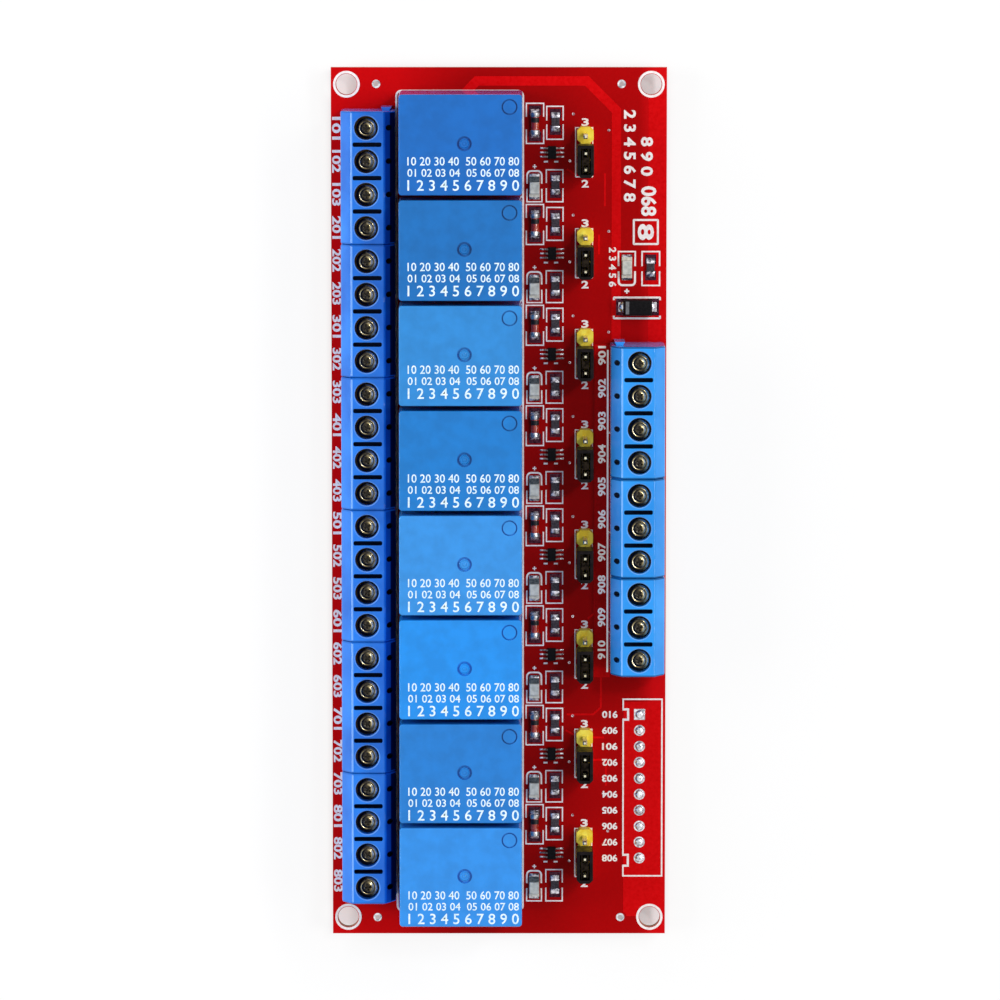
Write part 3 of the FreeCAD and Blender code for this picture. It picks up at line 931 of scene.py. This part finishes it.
def tone_of(face, row_x, facing, low_y, tones):
    """The painted light of one face: painted shade deepens hollows, test holes, seams and the slope next to
    the relays, and painted highlight pales the well rims, the plateau edges and a little of the input blocks'
    rear slope.
    """
    middle = face.calc_center_median()
    normal = face.normal
    u = facing * (middle.x - row_x)
    across = ((middle.y - low_y) / terminal_pitch % 1 - 0.5) * terminal_pitch
    below = cad_terminal_top - middle.z
    if normal.z > 0.98 and below < well_rim / 10:
        return 0
    if math.hypot(u, across) < well_radius + 2 * well_rim and normal.z > 0.3 and below < 2 * well_rim:
        return rim_highlight_tone
    if abs(normal.y) > 0.2 and normal.z > 0.2:
        return tones["seam"]
    off_slot = terminal_pitch / 2 - abs(across)
    in_slot = off_slot < slot_size.y * 0.52 and abs(u - slot_shift) < slot_size.x * 0.51
    if in_slot and below < slot_size.z * 1.01:
        return hollow_shade_tone if below > slot_size.z * 0.1 else 0
    off_test_hole = math.hypot(u - test_hole_place, across)
    if off_test_hole < test_hole_radius * 1.05 and not 0.2 < normal.z < 0.9:
        return tones["hole"]
    if -0.5 < normal.x < -0.1 and normal.z > 0.6 and abs(normal.y) < 0.1:
        return edge_highlight_tone
    if facing * normal.x < -0.75 and normal.z > 0.3:
        return tones["slope"] if u > ledge_place else tones["ledge"]
    return 0


def terminal_block(node, facing, tones):
    low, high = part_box(node)
    poles = round((high.y - low.y) / terminal_pitch)
    row_x = low.x + terminal_front if facing < 0 else high.x - terminal_front
    far_y = low.y + poles * terminal_pitch
    tab = bmesh.new()
    add_dovetail(tab, row_x, facing, far_y, 0)
    body = combined(block_body(row_x, facing, low.y, far_y), tab, "UNION")
    cuts = bmesh.new()
    add_dovetail(cuts, row_x, facing, low.y, dovetail_gap)
    for pole in range(poles):
        y = low.y + (pole + 0.5) * terminal_pitch
        add_pole_cuts(cuts, row_x, facing, y)
        if pole:
            add_slot_cut(cuts, row_x, facing, y - terminal_pitch / 2)
    block = combined(body, cuts, "DIFFERENCE")
    block.normal_update()
    tone = block.faces.layers.float.new("tone")
    for face in block.faces:
        face[tone] = tone_of(face, row_x, facing, low.y, tones)
    return block


cad_terminal_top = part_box("output_terminal_housing_1")[1].z
output_plastic = terminal_plastic("output_terminal_blue", output_dark, output_light)
input_plastic = terminal_plastic("input_terminal_blue", input_dark, input_light)
for row, blocks, facing, plastic in (("output", 6, -1, output_plastic), ("input", 3, 1, input_plastic)):
    for number in range(1, blocks + 1):
        node = "%s_terminal_housing_%d" % (row, number)
        block = terminal_block(node, facing, row_light_and_shade[row])
        finish_piece("%s_terminal_block_%d" % (row, number), block, plastic, [node])


# The terminal screws. Steel, turned with a low domed head, a groove round it and a cross recess, then
# passivated to a dark yellow, each left at its own angle at the bottom of its well.
screw_radius = 1.55 * mm
screw_section = [(0.0, 0.0), (0.5, 0.0), (0.74, -0.04), (0.9, -0.15), (0.96, -0.17), (1.04, -0.12),
                 (1.14, -0.11), (1.3, -0.17), (1.43, -0.27), (1.51, -0.39), (1.55, -0.55)]
recess_size = Vector((1.5, 0.46, 0.9)) * mm
recess_taper = (0.6, 0.5, 1)
screw_dark = (5, 4, 3)
screw_light = (106, 92, 62)
screw_grain = 0.5 * mm
# The head's colour is a painted reflection: bright where it leans towards a lamp at the right, black where it
# leans away.
screw_highlight_side = (0.93, 0.3, 0.0)
screw_highlight_spread = 0.5
screw_painted_reflection_tones = [(0.0, (3, 3, 4)), (0.34, (22, 21, 22)), (0.48, (70, 62, 48)), (0.56, (88, 76, 48)),
                     (0.74, (222, 200, 140)), (1.0, (255, 248, 226))]
screw_worn = 0.45
screw_recess_shade = 0.3
turn_step = 2.399


def screw_shape(height):
    head = bmesh.new()
    section = [(radius * mm, height + drop * mm) for radius, drop in screw_section]
    turn_upright(head, (0, 0), section + [(screw_radius, 0), (0, 0)], 32)
    bmesh.ops.remove_doubles(head, verts=head.verts, dist=merge_reach)
    cuts = bmesh.new()
    for turn in (0, math.pi / 2):
        arm = add_slab(cuts, 0, 0, recess_size, height - recess_size.z, height + recess_size.z)
        foot = [vert for vert in arm if vert.co.z < height]
        bmesh.ops.scale(cuts, vec=recess_taper, verts=foot)
        bmesh.ops.rotate(cuts, matrix=Matrix.Rotation(turn, 3, "Z"), verts=arm)
    return combined(head, cuts, "DIFFERENCE")


def repeated(shape, places):
    """One mesh that holds a copy of a shape at each place; the shape is used up."""
    template = bpy.data.meshes.new("template")
    shape.to_mesh(template)
    shape.free()
    whole = bmesh.new()
    for place in places:
        start = len(whole.verts)
        whole.from_mesh(template)
        whole.verts.ensure_lookup_table()
        bmesh.ops.transform(whole, matrix=place, verts=whole.verts[start:])
    bpy.data.meshes.remove(template)
    return whole


def screw_material():
    """Dark steel with a painted reflection, bright on the slopes that lean right and black on those that lean
    left, and painted shade in the recess.
    """
    material = surface("screw_steel", screw_dark, screw_light, screw_grain, (0.1, 0.24), metallic=0.6,
                       relief=0.004 * mm)
    tree = material.node_tree
    normal = add_node(tree, "TexCoord", {}).outputs["Normal"]
    lean = add_node(tree, "VectorMath", {0: normal, 1: screw_highlight_side}, operation="DOT_PRODUCT")
    share = spread(tree, lean.outputs["Value"], -screw_highlight_spread, screw_highlight_spread)
    painted_reflection = ramp(tree, share, [(position, colour(*tone)) for position, tone in screw_painted_reflection_tones])
    wear = ramp(tree, grain_noise(tree, screw_grain), [(0.34, grey(screw_worn)), (0.6, white)])
    top_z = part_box("output_terminal_screws")[1].z
    depth = spread(tree, axes_of(tree, "Object")["Z"], top_z - recess_size.z, top_z)
    # Painted shade: the head darkens towards the bottom of its cross recess.
    hollow = ramp(tree, depth, [(0.1, grey(screw_recess_shade)), (0.6, white)])
    reflection_and_wear = blend(tree, "MULTIPLY", 1.0, painted_reflection, wear)
    shade(material, {"Base Color": blend(tree, "MULTIPLY", 1.0, reflection_and_wear, hollow)})
    return material


def screw_places(row):
    """The middle of each screw of a row, from the top of the board down."""
    low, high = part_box(row + "_terminal_screws")
    count = round((high.y - low.y - 2 * screw_radius) / terminal_pitch) + 1
    first_y = high.y - screw_radius
    return [((low.x + high.x) / 2, first_y - pole * terminal_pitch) for pole in range(count)]


screw_metal = screw_material()
for row in ("output", "input"):
    node = row + "_terminal_screws"
    low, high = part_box(node)
    places = [Matrix.Translation((x, y, low.z)) @ Matrix.Rotation(pole * turn_step, 4, "Z")
              for pole, (x, y) in enumerate(screw_places(row))]
    screws = repeated(screw_shape(high.z - low.z), places)
    finish_piece(row + "_screws", screws, screw_metal, [node])


# The headers and their jumpers. A yellow moulded strip of three cells with cut corners holds three square
# pins, and a black open-topped cap with a sprung clip inside bridges the two lower ones.
yellow_dark = (244, 204, 46)
yellow_light = (255, 234, 88)
cell_notch = 0.55 * mm
strip_edge = 0.12 * mm
cap_dark = (9, 7, 8)
cap_light = (26, 20, 22)
cap_wall = 0.5 * mm
cap_slot = 1.5 * mm
cap_corner = 0.12 * mm
cap_end_corner = 0.55 * mm
cap_rim = 0.1 * mm


def header_strip(low, high):
    """Three square cells in a row, their corners cut and their top edges softened."""
    strip = bmesh.new()
    pitch = (high.y - low.y) / 3
    middle_x = (low.x + high.x) / 2
    half = (high.x - low.x) / 2
    right = []
    for cell in range(3):
        start = low.y + cell * pitch
        right += [(half - cell_notch, start), (half, start + cell_notch), (half, start + pitch - cell_notch)]
    right.append((half - cell_notch, high.y))
    outline = right + [(-u, y) for u, y in reversed(right)]
    add_prism(strip, [(middle_x + u, y, low.z) for u, y in outline], (0, 0, high.z - low.z))
    round_edges(strip, edges_above(strip, high.z - cell_notch / 10), strip_edge)
    return strip


def jumper_sleeve(low, high):
    """A block with its corners rounded, and the slot for the clip cut through it."""
    outer = bmesh.new()
    add_block(outer, low, high)
    middle = (low + high) / 2
    far = [edge for edge in upright_edges(outer, cap_slot) if edge.verts[0].co.y < middle.y]
    round_edges(outer, far, cap_end_corner, 1)
    near = [edge for edge in upright_edges(outer, cap_slot) if edge.verts[0].co.y > middle.y]
    round_edges(outer, near, cap_corner)
    round_edges(outer, edges_above(outer, high.z - cap_wall / 10), cap_rim)
    cut = bmesh.new()
    slot = (cap_slot, high.y - low.y - 2 * cap_wall)
    add_slab(cut, middle.x, middle.y, slot, low.z - 1 * mm, high.z + 1 * mm)
    return combined(outer, cut, "DIFFERENCE")


yellow_plastic = surface("header_yellow", yellow_dark, yellow_light, 1.2 * mm, (0.35, 0.5),
                         relief=0.012 * mm)
black_plastic = surface("jumper_black", cap_dark, cap_light, 0.8 * mm, (0.3, 0.5), relief=0.01 * mm,
                        shine=0.08)
for number in range(1, 9):
    node = "header_body_%d" % number
    finish_piece("header_strip_%d" % number, header_strip(*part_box(node)), yellow_plastic,
                 [node])
    node = "jumper_cap_%d" % number
    finish_piece("jumper_sleeve_%d" % number, jumper_sleeve(*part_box(node)), black_plastic,
                 [node], body="jumper_%d" % number)


# The small parts of each channel, soldered flat on the board: a glass diode between metal ends, two chip
# resistors, a chip lamp, and a six-lead driver. Solder runs up each end in a fillet.
diode_length = 3.5 * mm
diode_radius = 0.7 * mm
diode_end = 0.75 * mm
diode_lap = 0.1 * mm
diode_barrel = 0.9
diode_core = 0.35
diode_band = [(0.15, 0.88), (0.15, 0.92), (0.9, 0.92), (0.9, 0.88), (0.15, 0.88)]
diode_cap_shares = (0.93, 0.86)
diode_cap_slopes = (0.08 * mm, 0.12 * mm)
resistor_size = Vector((1.25, 2.0, 0.5)) * mm
chip_end = 0.38 * mm
lamp_size = Vector((1.6, 3.2)) * mm
lamp_base = 0.5 * mm
lamp_height = 1.1 * mm
lamp_end = 0.45 * mm
lamp_mark = 0.85 * mm
lamp_mark_rise = 0.12 * mm
lamp_narrowing = (0.9, 0.92)
lens_edge = 0.1 * mm
driver_size = Vector((1.3, 2.0)) * mm
driver_base = 0.15 * mm
driver_top = 0.95 * mm
driver_knee = 0.22 * mm
driver_span = 2.6 * mm
driver_pitch = 0.65 * mm
driver_lead = Vector((0.25, 0.15)) * mm
driver_shoulder = (0.38 * mm, 0.5 * mm)
driver_shin = (0.08 * mm, 0.04 * mm, 0.48 * mm)
driver_lap = 0.1 * mm
driver_solder = (0.55 * mm, 0.06 * mm)
driver_narrowing = (0.86, 0.92)
diode_drop = 3.14
resistor_drops = [2.9, 12.6]
lamp_drop = 12.85
driver_drop = 7.6
sink = 0.02 * mm
fillet_reach = 0.5 * mm
pad_under = 0.5 * mm
pad_beyond = 1.0 * mm
pad_rise = 0.03 * mm
soft_edge = 0.04 * mm
end_edge = 0.07 * mm
mould_edge = 0.05 * mm
lead_edge = 0.03 * mm
small_finishes = {
    "diode_glass": ((190, 26, 10), (236, 84, 44), 0.8, (0.05, 0.12), {"coat": 1.0}),
    "diode_band": ((18, 16, 18), (36, 32, 34), 0.3, (0.3, 0.5), {}),
    "diode_core": ((120, 30, 12), (180, 90, 50), 0.4, (0.3, 0.5), {"metallic": 0.6}),
    "solder": ((76, 74, 84), (232, 230, 238), 0.5, (0.16, 0.34), {"metallic": 1.0, "relief": 0.03 * mm}),
    "resistor_coat": ((34, 30, 36), (70, 62, 70), 0.3, (0.35, 0.55), {"relief": 0.01 * mm}),
    "lamp_base": ((196, 190, 176), (226, 222, 210), 0.5, (0.4, 0.55), {}),
    "lamp_lens": ((206, 208, 200), (240, 240, 232), 0.7, (0.12, 0.25), {}),
    "lamp_mark": ((44, 50, 56), (96, 102, 104), 0.3, (0.3, 0.5), {}),
    # The pads' tin is given a dark purplish grey: a painted reflection, for tin that mirrors a dark room
    # above it.
    "tinned_pad_painted_reflection": ((38, 14, 26), (74, 40, 54), 0.4, (0.2, 0.35), {"metallic": 1.0}),
    "driver_mould": ((9, 8, 9), (24, 22, 24), 0.25, (0.45, 0.65), {"relief": 0.015 * mm, "shine": 0.06}),
    "dull_tin": ((70, 64, 66), (140, 132, 132), 0.4, (0.3, 0.45), {"metallic": 1.0}),
}
glass_clearness = 0.45
lens_clearness = 0.25


def middle_of(node):
    low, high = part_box(node)
    return ((low + high) / 2).xy


def turn_lying(bm, center, outline, steps=24):
    """A shape turned about a line along the board's length, from its half outline of place and radius."""
    points = [(center[0] + radius, center[1] + y, center[2]) for y, radius in outline]
    turn_shape(bm, points, center, (0, 1, 0), steps)


def rod(start, end, radius):
    """The half outline of a plain round rod."""
    return [(start, 0), (start, radius), (end, radius), (end, 0)]


def add_fillet(bm, middle_x, wall_y, width, height, reach):
    """A wedge of solder from the foot of a wall at wall_y out to where its pad ends."""
    far_y = wall_y + reach
    verts = add_block(bm, (middle_x - width / 2, wall_y - math.copysign(sink, reach), board_top - sink),
                      (middle_x + width / 2, far_y, board_top + height))
    crest = [v for v in verts if v.co.z > board_top and abs(v.co.y - far_y) < abs(reach) / 2]
    bmesh.ops.translate(bm, vec=(0, 0, -height * 0.8), verts=crest)
    round_edges(bm, edges_of(verts), min(height, abs(reach)) * 0.22)


def add_end_solder(x, end_y, out, width, height, pad_width):
    """A part's end is soldered: a fillet, on a flat tinned pad that reaches out beyond it."""
    add_fillet(solder, x, end_y, width, height, out * fillet_reach)
    add_block(flat_pads, (x - pad_width / 2, end_y - out * pad_under, board_top - sink),
              (x + pad_width / 2, end_y + out * pad_beyond, board_top + pad_rise))


def add_glass_diode(x, y):
    half = diode_length / 2
    inner = half - diode_end
    centre = (x, y, board_top + diode_radius)
    turn_lying(glass, centre, rod(-inner - diode_lap, inner + diode_lap, diode_radius * diode_barrel))
    turn_lying(diode_cores, centre, rod(-inner, inner, diode_radius * diode_core), 12)
    band = [(inner * place, diode_radius * share) for place, share in diode_band]
    turn_lying(diode_bands, centre, band)
    cap = [(inner, 0), (inner, diode_radius * diode_cap_shares[0]),
           (inner + diode_cap_slopes[0], diode_radius), (half - diode_cap_slopes[1], diode_radius),
           (half, diode_radius * diode_cap_shares[1]), (half, 0)]
    for end in (-1, 1):
        turn_lying(diode_ends, centre, [(end * place, radius) for place, radius in cap])
        add_end_solder(x, y + end * half, end, diode_radius * 1.9, diode_radius, diode_radius * 2.7)


def add_chip(x, y, bodies, ends):
    width, length, height = resistor_size
    top_z = board_top + height
    add_slab(bodies, x, y, (width, length - 2 * chip_end), board_top, top_z, soft_edge)
    for end in (-1, 1):
        outer = y + end * length / 2
        add_slab(ends, x, outer - end * chip_end / 2, (width, chip_end), board_top, top_z, end_edge)
        add_end_solder(x, outer, end, width * 1.05, height * 0.9, width * 1.35)


def narrow_top(bm, verts, x, y, shares):
    """The upper corners of a block draw in towards the upright line at a place."""
    top_z = max(vert.co.z for vert in verts)
    crown = [vert for vert in verts if vert.co.z > top_z - soft_edge]
    bmesh.ops.scale(bm, vec=(*shares, 1), space=Matrix.Translation((-x, -y, 0)), verts=crown)


def add_lamp(x, y, bases, lenses, marks=None):
    """A white base under a clear lens; with a dark mark at one end where marks is given."""
    half = lamp_size / 2
    base_z = board_top + lamp_base
    add_slab(bases, x, y, lamp_size, board_top, base_z, soft_edge)
    if marks:
        add_block(marks, (x - half.x * 0.96, y + half.y - lamp_mark, board_top + lamp_base * 0.8),
                  (x + half.x * 0.96, y + half.y * 0.98, base_z + lamp_mark_rise), mould_edge)
    verts = add_block(lenses, (x - half.x, y - half.y + lamp_end, board_top + lamp_base * 0.9),
                      (x + half.x, y + half.y - (lamp_mark if marks else lamp_end), board_top + lamp_height))
    narrow_top(lenses, verts, x, y, lamp_narrowing)
    round_edges(lenses, edges_of(verts), lens_edge, 3)
    for end in (-1, 1):
        add_fillet(solder, x, y + end * half.y, lamp_size.x, lamp_base * 0.8, end * fillet_reach * 0.8)


def add_driver(x, y):
    """A black moulded body, and six leads that go out, down and out again on to their pads."""
    body = add_slab(driver_bodies, x, y, driver_size, board_top + driver_base, board_top + driver_top)
    narrow_top(driver_bodies, body, x, y, driver_narrowing)
    round_edges(driver_bodies, edges_of(body), mould_edge)
    knee = driver_size.x / 2 + driver_knee
    foot = driver_span / 2
    steps = [(driver_leads, driver_size.x * 0.4, knee, *driver_shoulder),
             (driver_leads, knee - driver_shin[0], knee + driver_shin[1], 0, driver_shin[2]),
             (driver_leads, knee - driver_lap, foot, 0, driver_lead.y),
             (solder, knee - driver_lap, foot + driver_solder[0], -sink, driver_solder[1])]
    for side in (-1, 1):
        for row in (-1, 0, 1):
            lead_y = y + row * driver_pitch
            for target, start, end, low_z, high_z in steps:
                add_block(target, (x + side * start, lead_y - driver_lead.x / 2, board_top + low_z),
                          (x + side * end, lead_y + driver_lead.x / 2, board_top + high_z), lead_edge)


glass, diode_ends, diode_bands, diode_cores = [bmesh.new() for piece in range(4)]
chip_bodies, chip_ends, driver_bodies, driver_leads = [bmesh.new() for piece in range(4)]
lamp_bases, lamp_lenses, lamp_marks, solder, flat_pads = [bmesh.new() for piece in range(5)]
diode_x = middle_of("glass_diodes").x
resistor_x = middle_of("channel_resistors").x
lamp_x = middle_of("channel_lamps").x
driver_x = middle_of("driver_packages").x
for channel in range(1, 9):
    start = channel_top(channel)
    add_glass_diode(diode_x, (start - diode_drop) * mm)
    for drop in resistor_drops:
        add_chip(resistor_x, (start - drop) * mm, chip_bodies, chip_ends)
    add_lamp(lamp_x, (start - lamp_drop) * mm, lamp_bases, lamp_lenses, lamp_marks)
    add_driver(driver_x, (start - driver_drop) * mm)

small = {}
for name, (dark, light, grain, gloss, more) in small_finishes.items():
    small[name] = surface(name, dark, light, grain * mm, gloss, **more)
shade(small["diode_glass"], {"Transmission Weight": glass_clearness})
shade(small["lamp_lens"], {"Transmission Weight": lens_clearness})
finish_piece("diode_barrels", glass, small["diode_glass"], ["glass_diodes"])
finish_piece("diode_end_caps", diode_ends, tin_material)
finish_piece("diode_band_marks", diode_bands, small["diode_band"])
finish_piece("diode_cores", diode_cores, small["diode_core"])
finish_piece("resistor_bodies", chip_bodies, small["resistor_coat"], ["channel_resistors"])
finish_piece("resistor_ends", chip_ends, small["solder"])
finish_piece("lamp_bases", lamp_bases, small["lamp_base"], ["channel_lamps"])
finish_piece("lamp_lenses", lamp_lenses, small["lamp_lens"])
finish_piece("lamp_marks", lamp_marks, small["lamp_mark"])
finish_piece("driver_bodies", driver_bodies, small["driver_mould"], ["driver_packages"])
finish_piece("driver_lead_sets", driver_leads, small["dull_tin"])


# The power parts beside the input terminals: a chip lamp, its chip resistor, and a moulded diode with a grey
# band at one end and two flat leads, each on its pad under a drop of solder.
power_lead_reach = 0.7 * mm
power_lead = Vector((1.6, 1.5, 0.2)) * mm
power_taper = 0.2 * mm
power_edge = 0.12 * mm
power_pad_reach = 0.35 * mm
power_pad = Vector((1.65, 2.6, 0.08)) * mm
band_span = (2.0, 4.6)
band_inset = 1.6
band_dark = (92, 92, 94)
band_light = (124, 124, 126)
drop_radius = 1.0 * mm
drop_rise = 0.7 * mm


def power_diode_body(low, high):
    """Two moulded halves that taper away from the seam between them."""
    body = bmesh.new()
    middle = (low + high) / 2
    add_block(body, low, (high.x, high.y, middle.z))
    add_block(body, (low.x, low.y, middle.z), high)
    taper = (1 - 2 * power_taper / (high.x - low.x), 1 - 2 * power_taper / (high.y - low.y), 1)
    ends = [vert for vert in body.verts if abs(vert.co.z - middle.z) > power_taper / 4]
    bmesh.ops.scale(body, vec=taper, space=Matrix.Translation(-middle), verts=ends)
    bmesh.ops.remove_doubles(body, verts=body.verts, dist=2 * merge_reach)
    seam = [face for face in body.faces if abs(face.calc_center_median().z - middle.z) < power_taper / 4]
    bmesh.ops.delete(body, geom=seam, context="FACES_ONLY")
    round_edges(body, edges_above(body, high.z - power_taper / 10), power_edge, 3)
    return body


def add_dome(bm, center, radius, rise, base_z):
    """A drop of solder, turned from a quarter of a flattened circle."""
    arc = [math.pi / 2 * ring / 5 for ring in range(6)]
    outline = [(0, base_z)] + [(radius * math.cos(a), base_z + rise * math.sin(a)) for a in arc]
    turn_upright(bm, center, outline, 24)


power_base, power_lens, power_chip, power_chip_ends, drops = [bmesh.new() for piece in range(5)]
add_lamp(*middle_of("power_lamp"), power_base, power_lens)
add_chip(*middle_of("power_resistor"), power_chip, power_chip_ends)
finish_piece("power_lamp_base", power_base, small["lamp_base"], ["power_lamp"])
finish_piece("power_lamp_lens", power_lens, small["lamp_lens"])
finish_piece("power_resistor_body", power_chip, small["resistor_coat"], ["power_resistor"])
finish_piece("power_resistor_ends", power_chip_ends, small["solder"])

low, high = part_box("power_diode")
body_low = Vector((low.x + power_lead_reach, low.y, board_top + power_lead.z))
body_high = Vector((high.x - power_lead_reach, high.y, high.z - 0.02 * mm))
middle_y = (low.y + high.y) / 2
band, leads = [bmesh.new() for piece in range(2)]
add_block(band, (body_low.x + power_taper * band_span[0], body_low.y + power_taper * band_inset,
                 body_high.z - power_taper),
          (body_low.x + power_taper * band_span[1], body_high.y - power_taper * band_inset, high.z))
for side, outer in ((-1, low.x), (1, high.x)):
    pad_end = outer + side * power_pad_reach
    add_block(flat_pads, (pad_end, middle_y - power_pad.y / 2, board_top - sink),
              (pad_end - side * power_pad.x, middle_y + power_pad.y / 2, board_top + power_pad.z))
    add_block(leads, (outer, middle_y - power_lead.y / 2, board_top),
              (outer - side * power_lead.x, middle_y + power_lead.y / 2, board_top + power_lead.z),
              mould_edge)
    add_dome(drops, (outer - side * drop_radius, middle_y), drop_radius, drop_rise, board_top - sink)
band_grey = surface("diode_band_grey", band_dark, band_light, 0.3 * mm, (0.5, 0.65))
finish_piece("power_diode_body", power_diode_body(body_low, body_high), small["driver_mould"],
             ["power_diode"])
finish_piece("power_diode_band", band, band_grey)
finish_piece("power_diode_leads", leads, tin_material)
finish_piece("flat_pads", flat_pads, small["tinned_pad_painted_reflection"])


# Solder on the top of the board: the fillets at the small parts, small plated holes, ten filled pads of a
# connector that isn't fitted, the first one square, and a rim that narrows each tooling hole.
pad_radius = 0.85 * mm
pad_dome = 0.42 * mm
pad_height = 0.04 * mm
square_pad_height = 0.05 * mm
square_pad_edge = 0.02 * mm
via_radius = 0.2 * mm
vias = [(11.43, -1.7), (10.9, -8.9), (16.9, -4.2)]
tooling_rim = (0.38 * mm, 0.64 * mm)
tooling_rim_depth = 0.3 * mm
bright_dark = (150, 152, 160)
bright_light = (240, 240, 244)

for pin in range(connector_pins):
    spot = (connector_first - Vector((0, pin * connector_pitch))) * mm
    if pin:
        add_disc(drops, spot, pad_radius, board_top - sink, board_top + pad_height)
    else:
        square = (2 * pad_radius, 2 * pad_radius)
        add_slab(drops, spot.x, spot.y, square, board_top - sink, board_top + square_pad_height,
                 square_pad_edge)
    add_dome(drops, spot, pad_radius * 0.8, pad_dome, board_top + pad_rise)
for spot in at_corners(tooling_inset):
    add_ring(drops, spot, *tooling_rim, board_top - tooling_rim_depth, board_top + pad_height, 24)
for channel in range(1, 9):
    for via_x, drop in vias:
        spot = (via_x * mm, (channel_top(channel) + drop) * mm)
        add_ring(solder, spot, via_radius * 0.5, via_radius, board_top - sink, board_top + pad_rise, 12)
bright_solder = surface("bright_solder", bright_dark, bright_light, 0.5 * mm, (0.16, 0.34), metallic=1.0,
                        relief=0.02 * mm)
finish_piece("solder_joints", solder, small["solder"])
finish_piece("filled_pads", drops, bright_solder)


# The underside. A wide copper track from each output terminal to its relay lead, etched from foil under the
# same red mask, and a cone of solder round every lead.
lower_track = 2.6 * mm
contact_leads = [(-7.1, 6.0), (7.1, 0), (-7.1, -6.0)]
coil_leads = [(5.1, 6.0), (5.1, -6.0)]
joint_radius = 0.95 * mm
joint_height = 1.3 * mm
joint_tip = 0.42
joint_waist = (0.15 * mm, 0.78)
joint_lap = 0.01 * mm


def joint_cone():
    """A cone of solder with a hollow side, its wide end on the board."""
    cone = bmesh.new()
    bmesh.ops.create_cone(cone, cap_ends=True, segments=20, radius1=joint_radius * joint_tip,
                          radius2=joint_radius, depth=joint_height)
    everything = cone.verts[:] + cone.edges[:] + cone.faces[:]
    cut = bmesh.ops.bisect_plane(cone, geom=everything, plane_co=(0, 0, joint_waist[0]),
                                 plane_no=(0, 0, 1))["geom_cut"]
    waist = [item for item in cut if isinstance(item, bmesh.types.BMVert)]
    bmesh.ops.scale(cone, vec=(joint_waist[1], joint_waist[1], 1), verts=waist)
    bmesh.ops.translate(cone, vec=(0, 0, joint_lap - joint_height / 2), verts=cone.verts)
    return cone


tracks = bmesh.new()
joints = screw_places("output") + screw_places("input")
for channel in range(1, 9):
    low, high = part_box("relay_%d" % channel)
    middle = (low + high) / 2
    leads = [(middle.x + u * mm, middle.y + v * mm) for u, v in contact_leads + coil_leads]
    joints += leads
    poles = screw_places("output")[3 * channel - 3:3 * channel]
    for pole, lead in zip(poles, leads):
        add_bar(tracks, pole, lead, lower_track, -copper_rise, copper_rise)
    low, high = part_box("header_body_%d" % channel)
    pitch = (high.y - low.y) / 3
    joints += [((low.x + high.x) / 2, low.y + (pin + 0.5) * pitch) for pin in range(3)]
finish_piece("underside_tracks", tracks, copper_and_painted_light_material)
joint_places = [Matrix.Translation((x, y, 0)) for x, y in joints]
finish_piece("underside_joints", repeated(joint_cone(), joint_places), small["solder"])
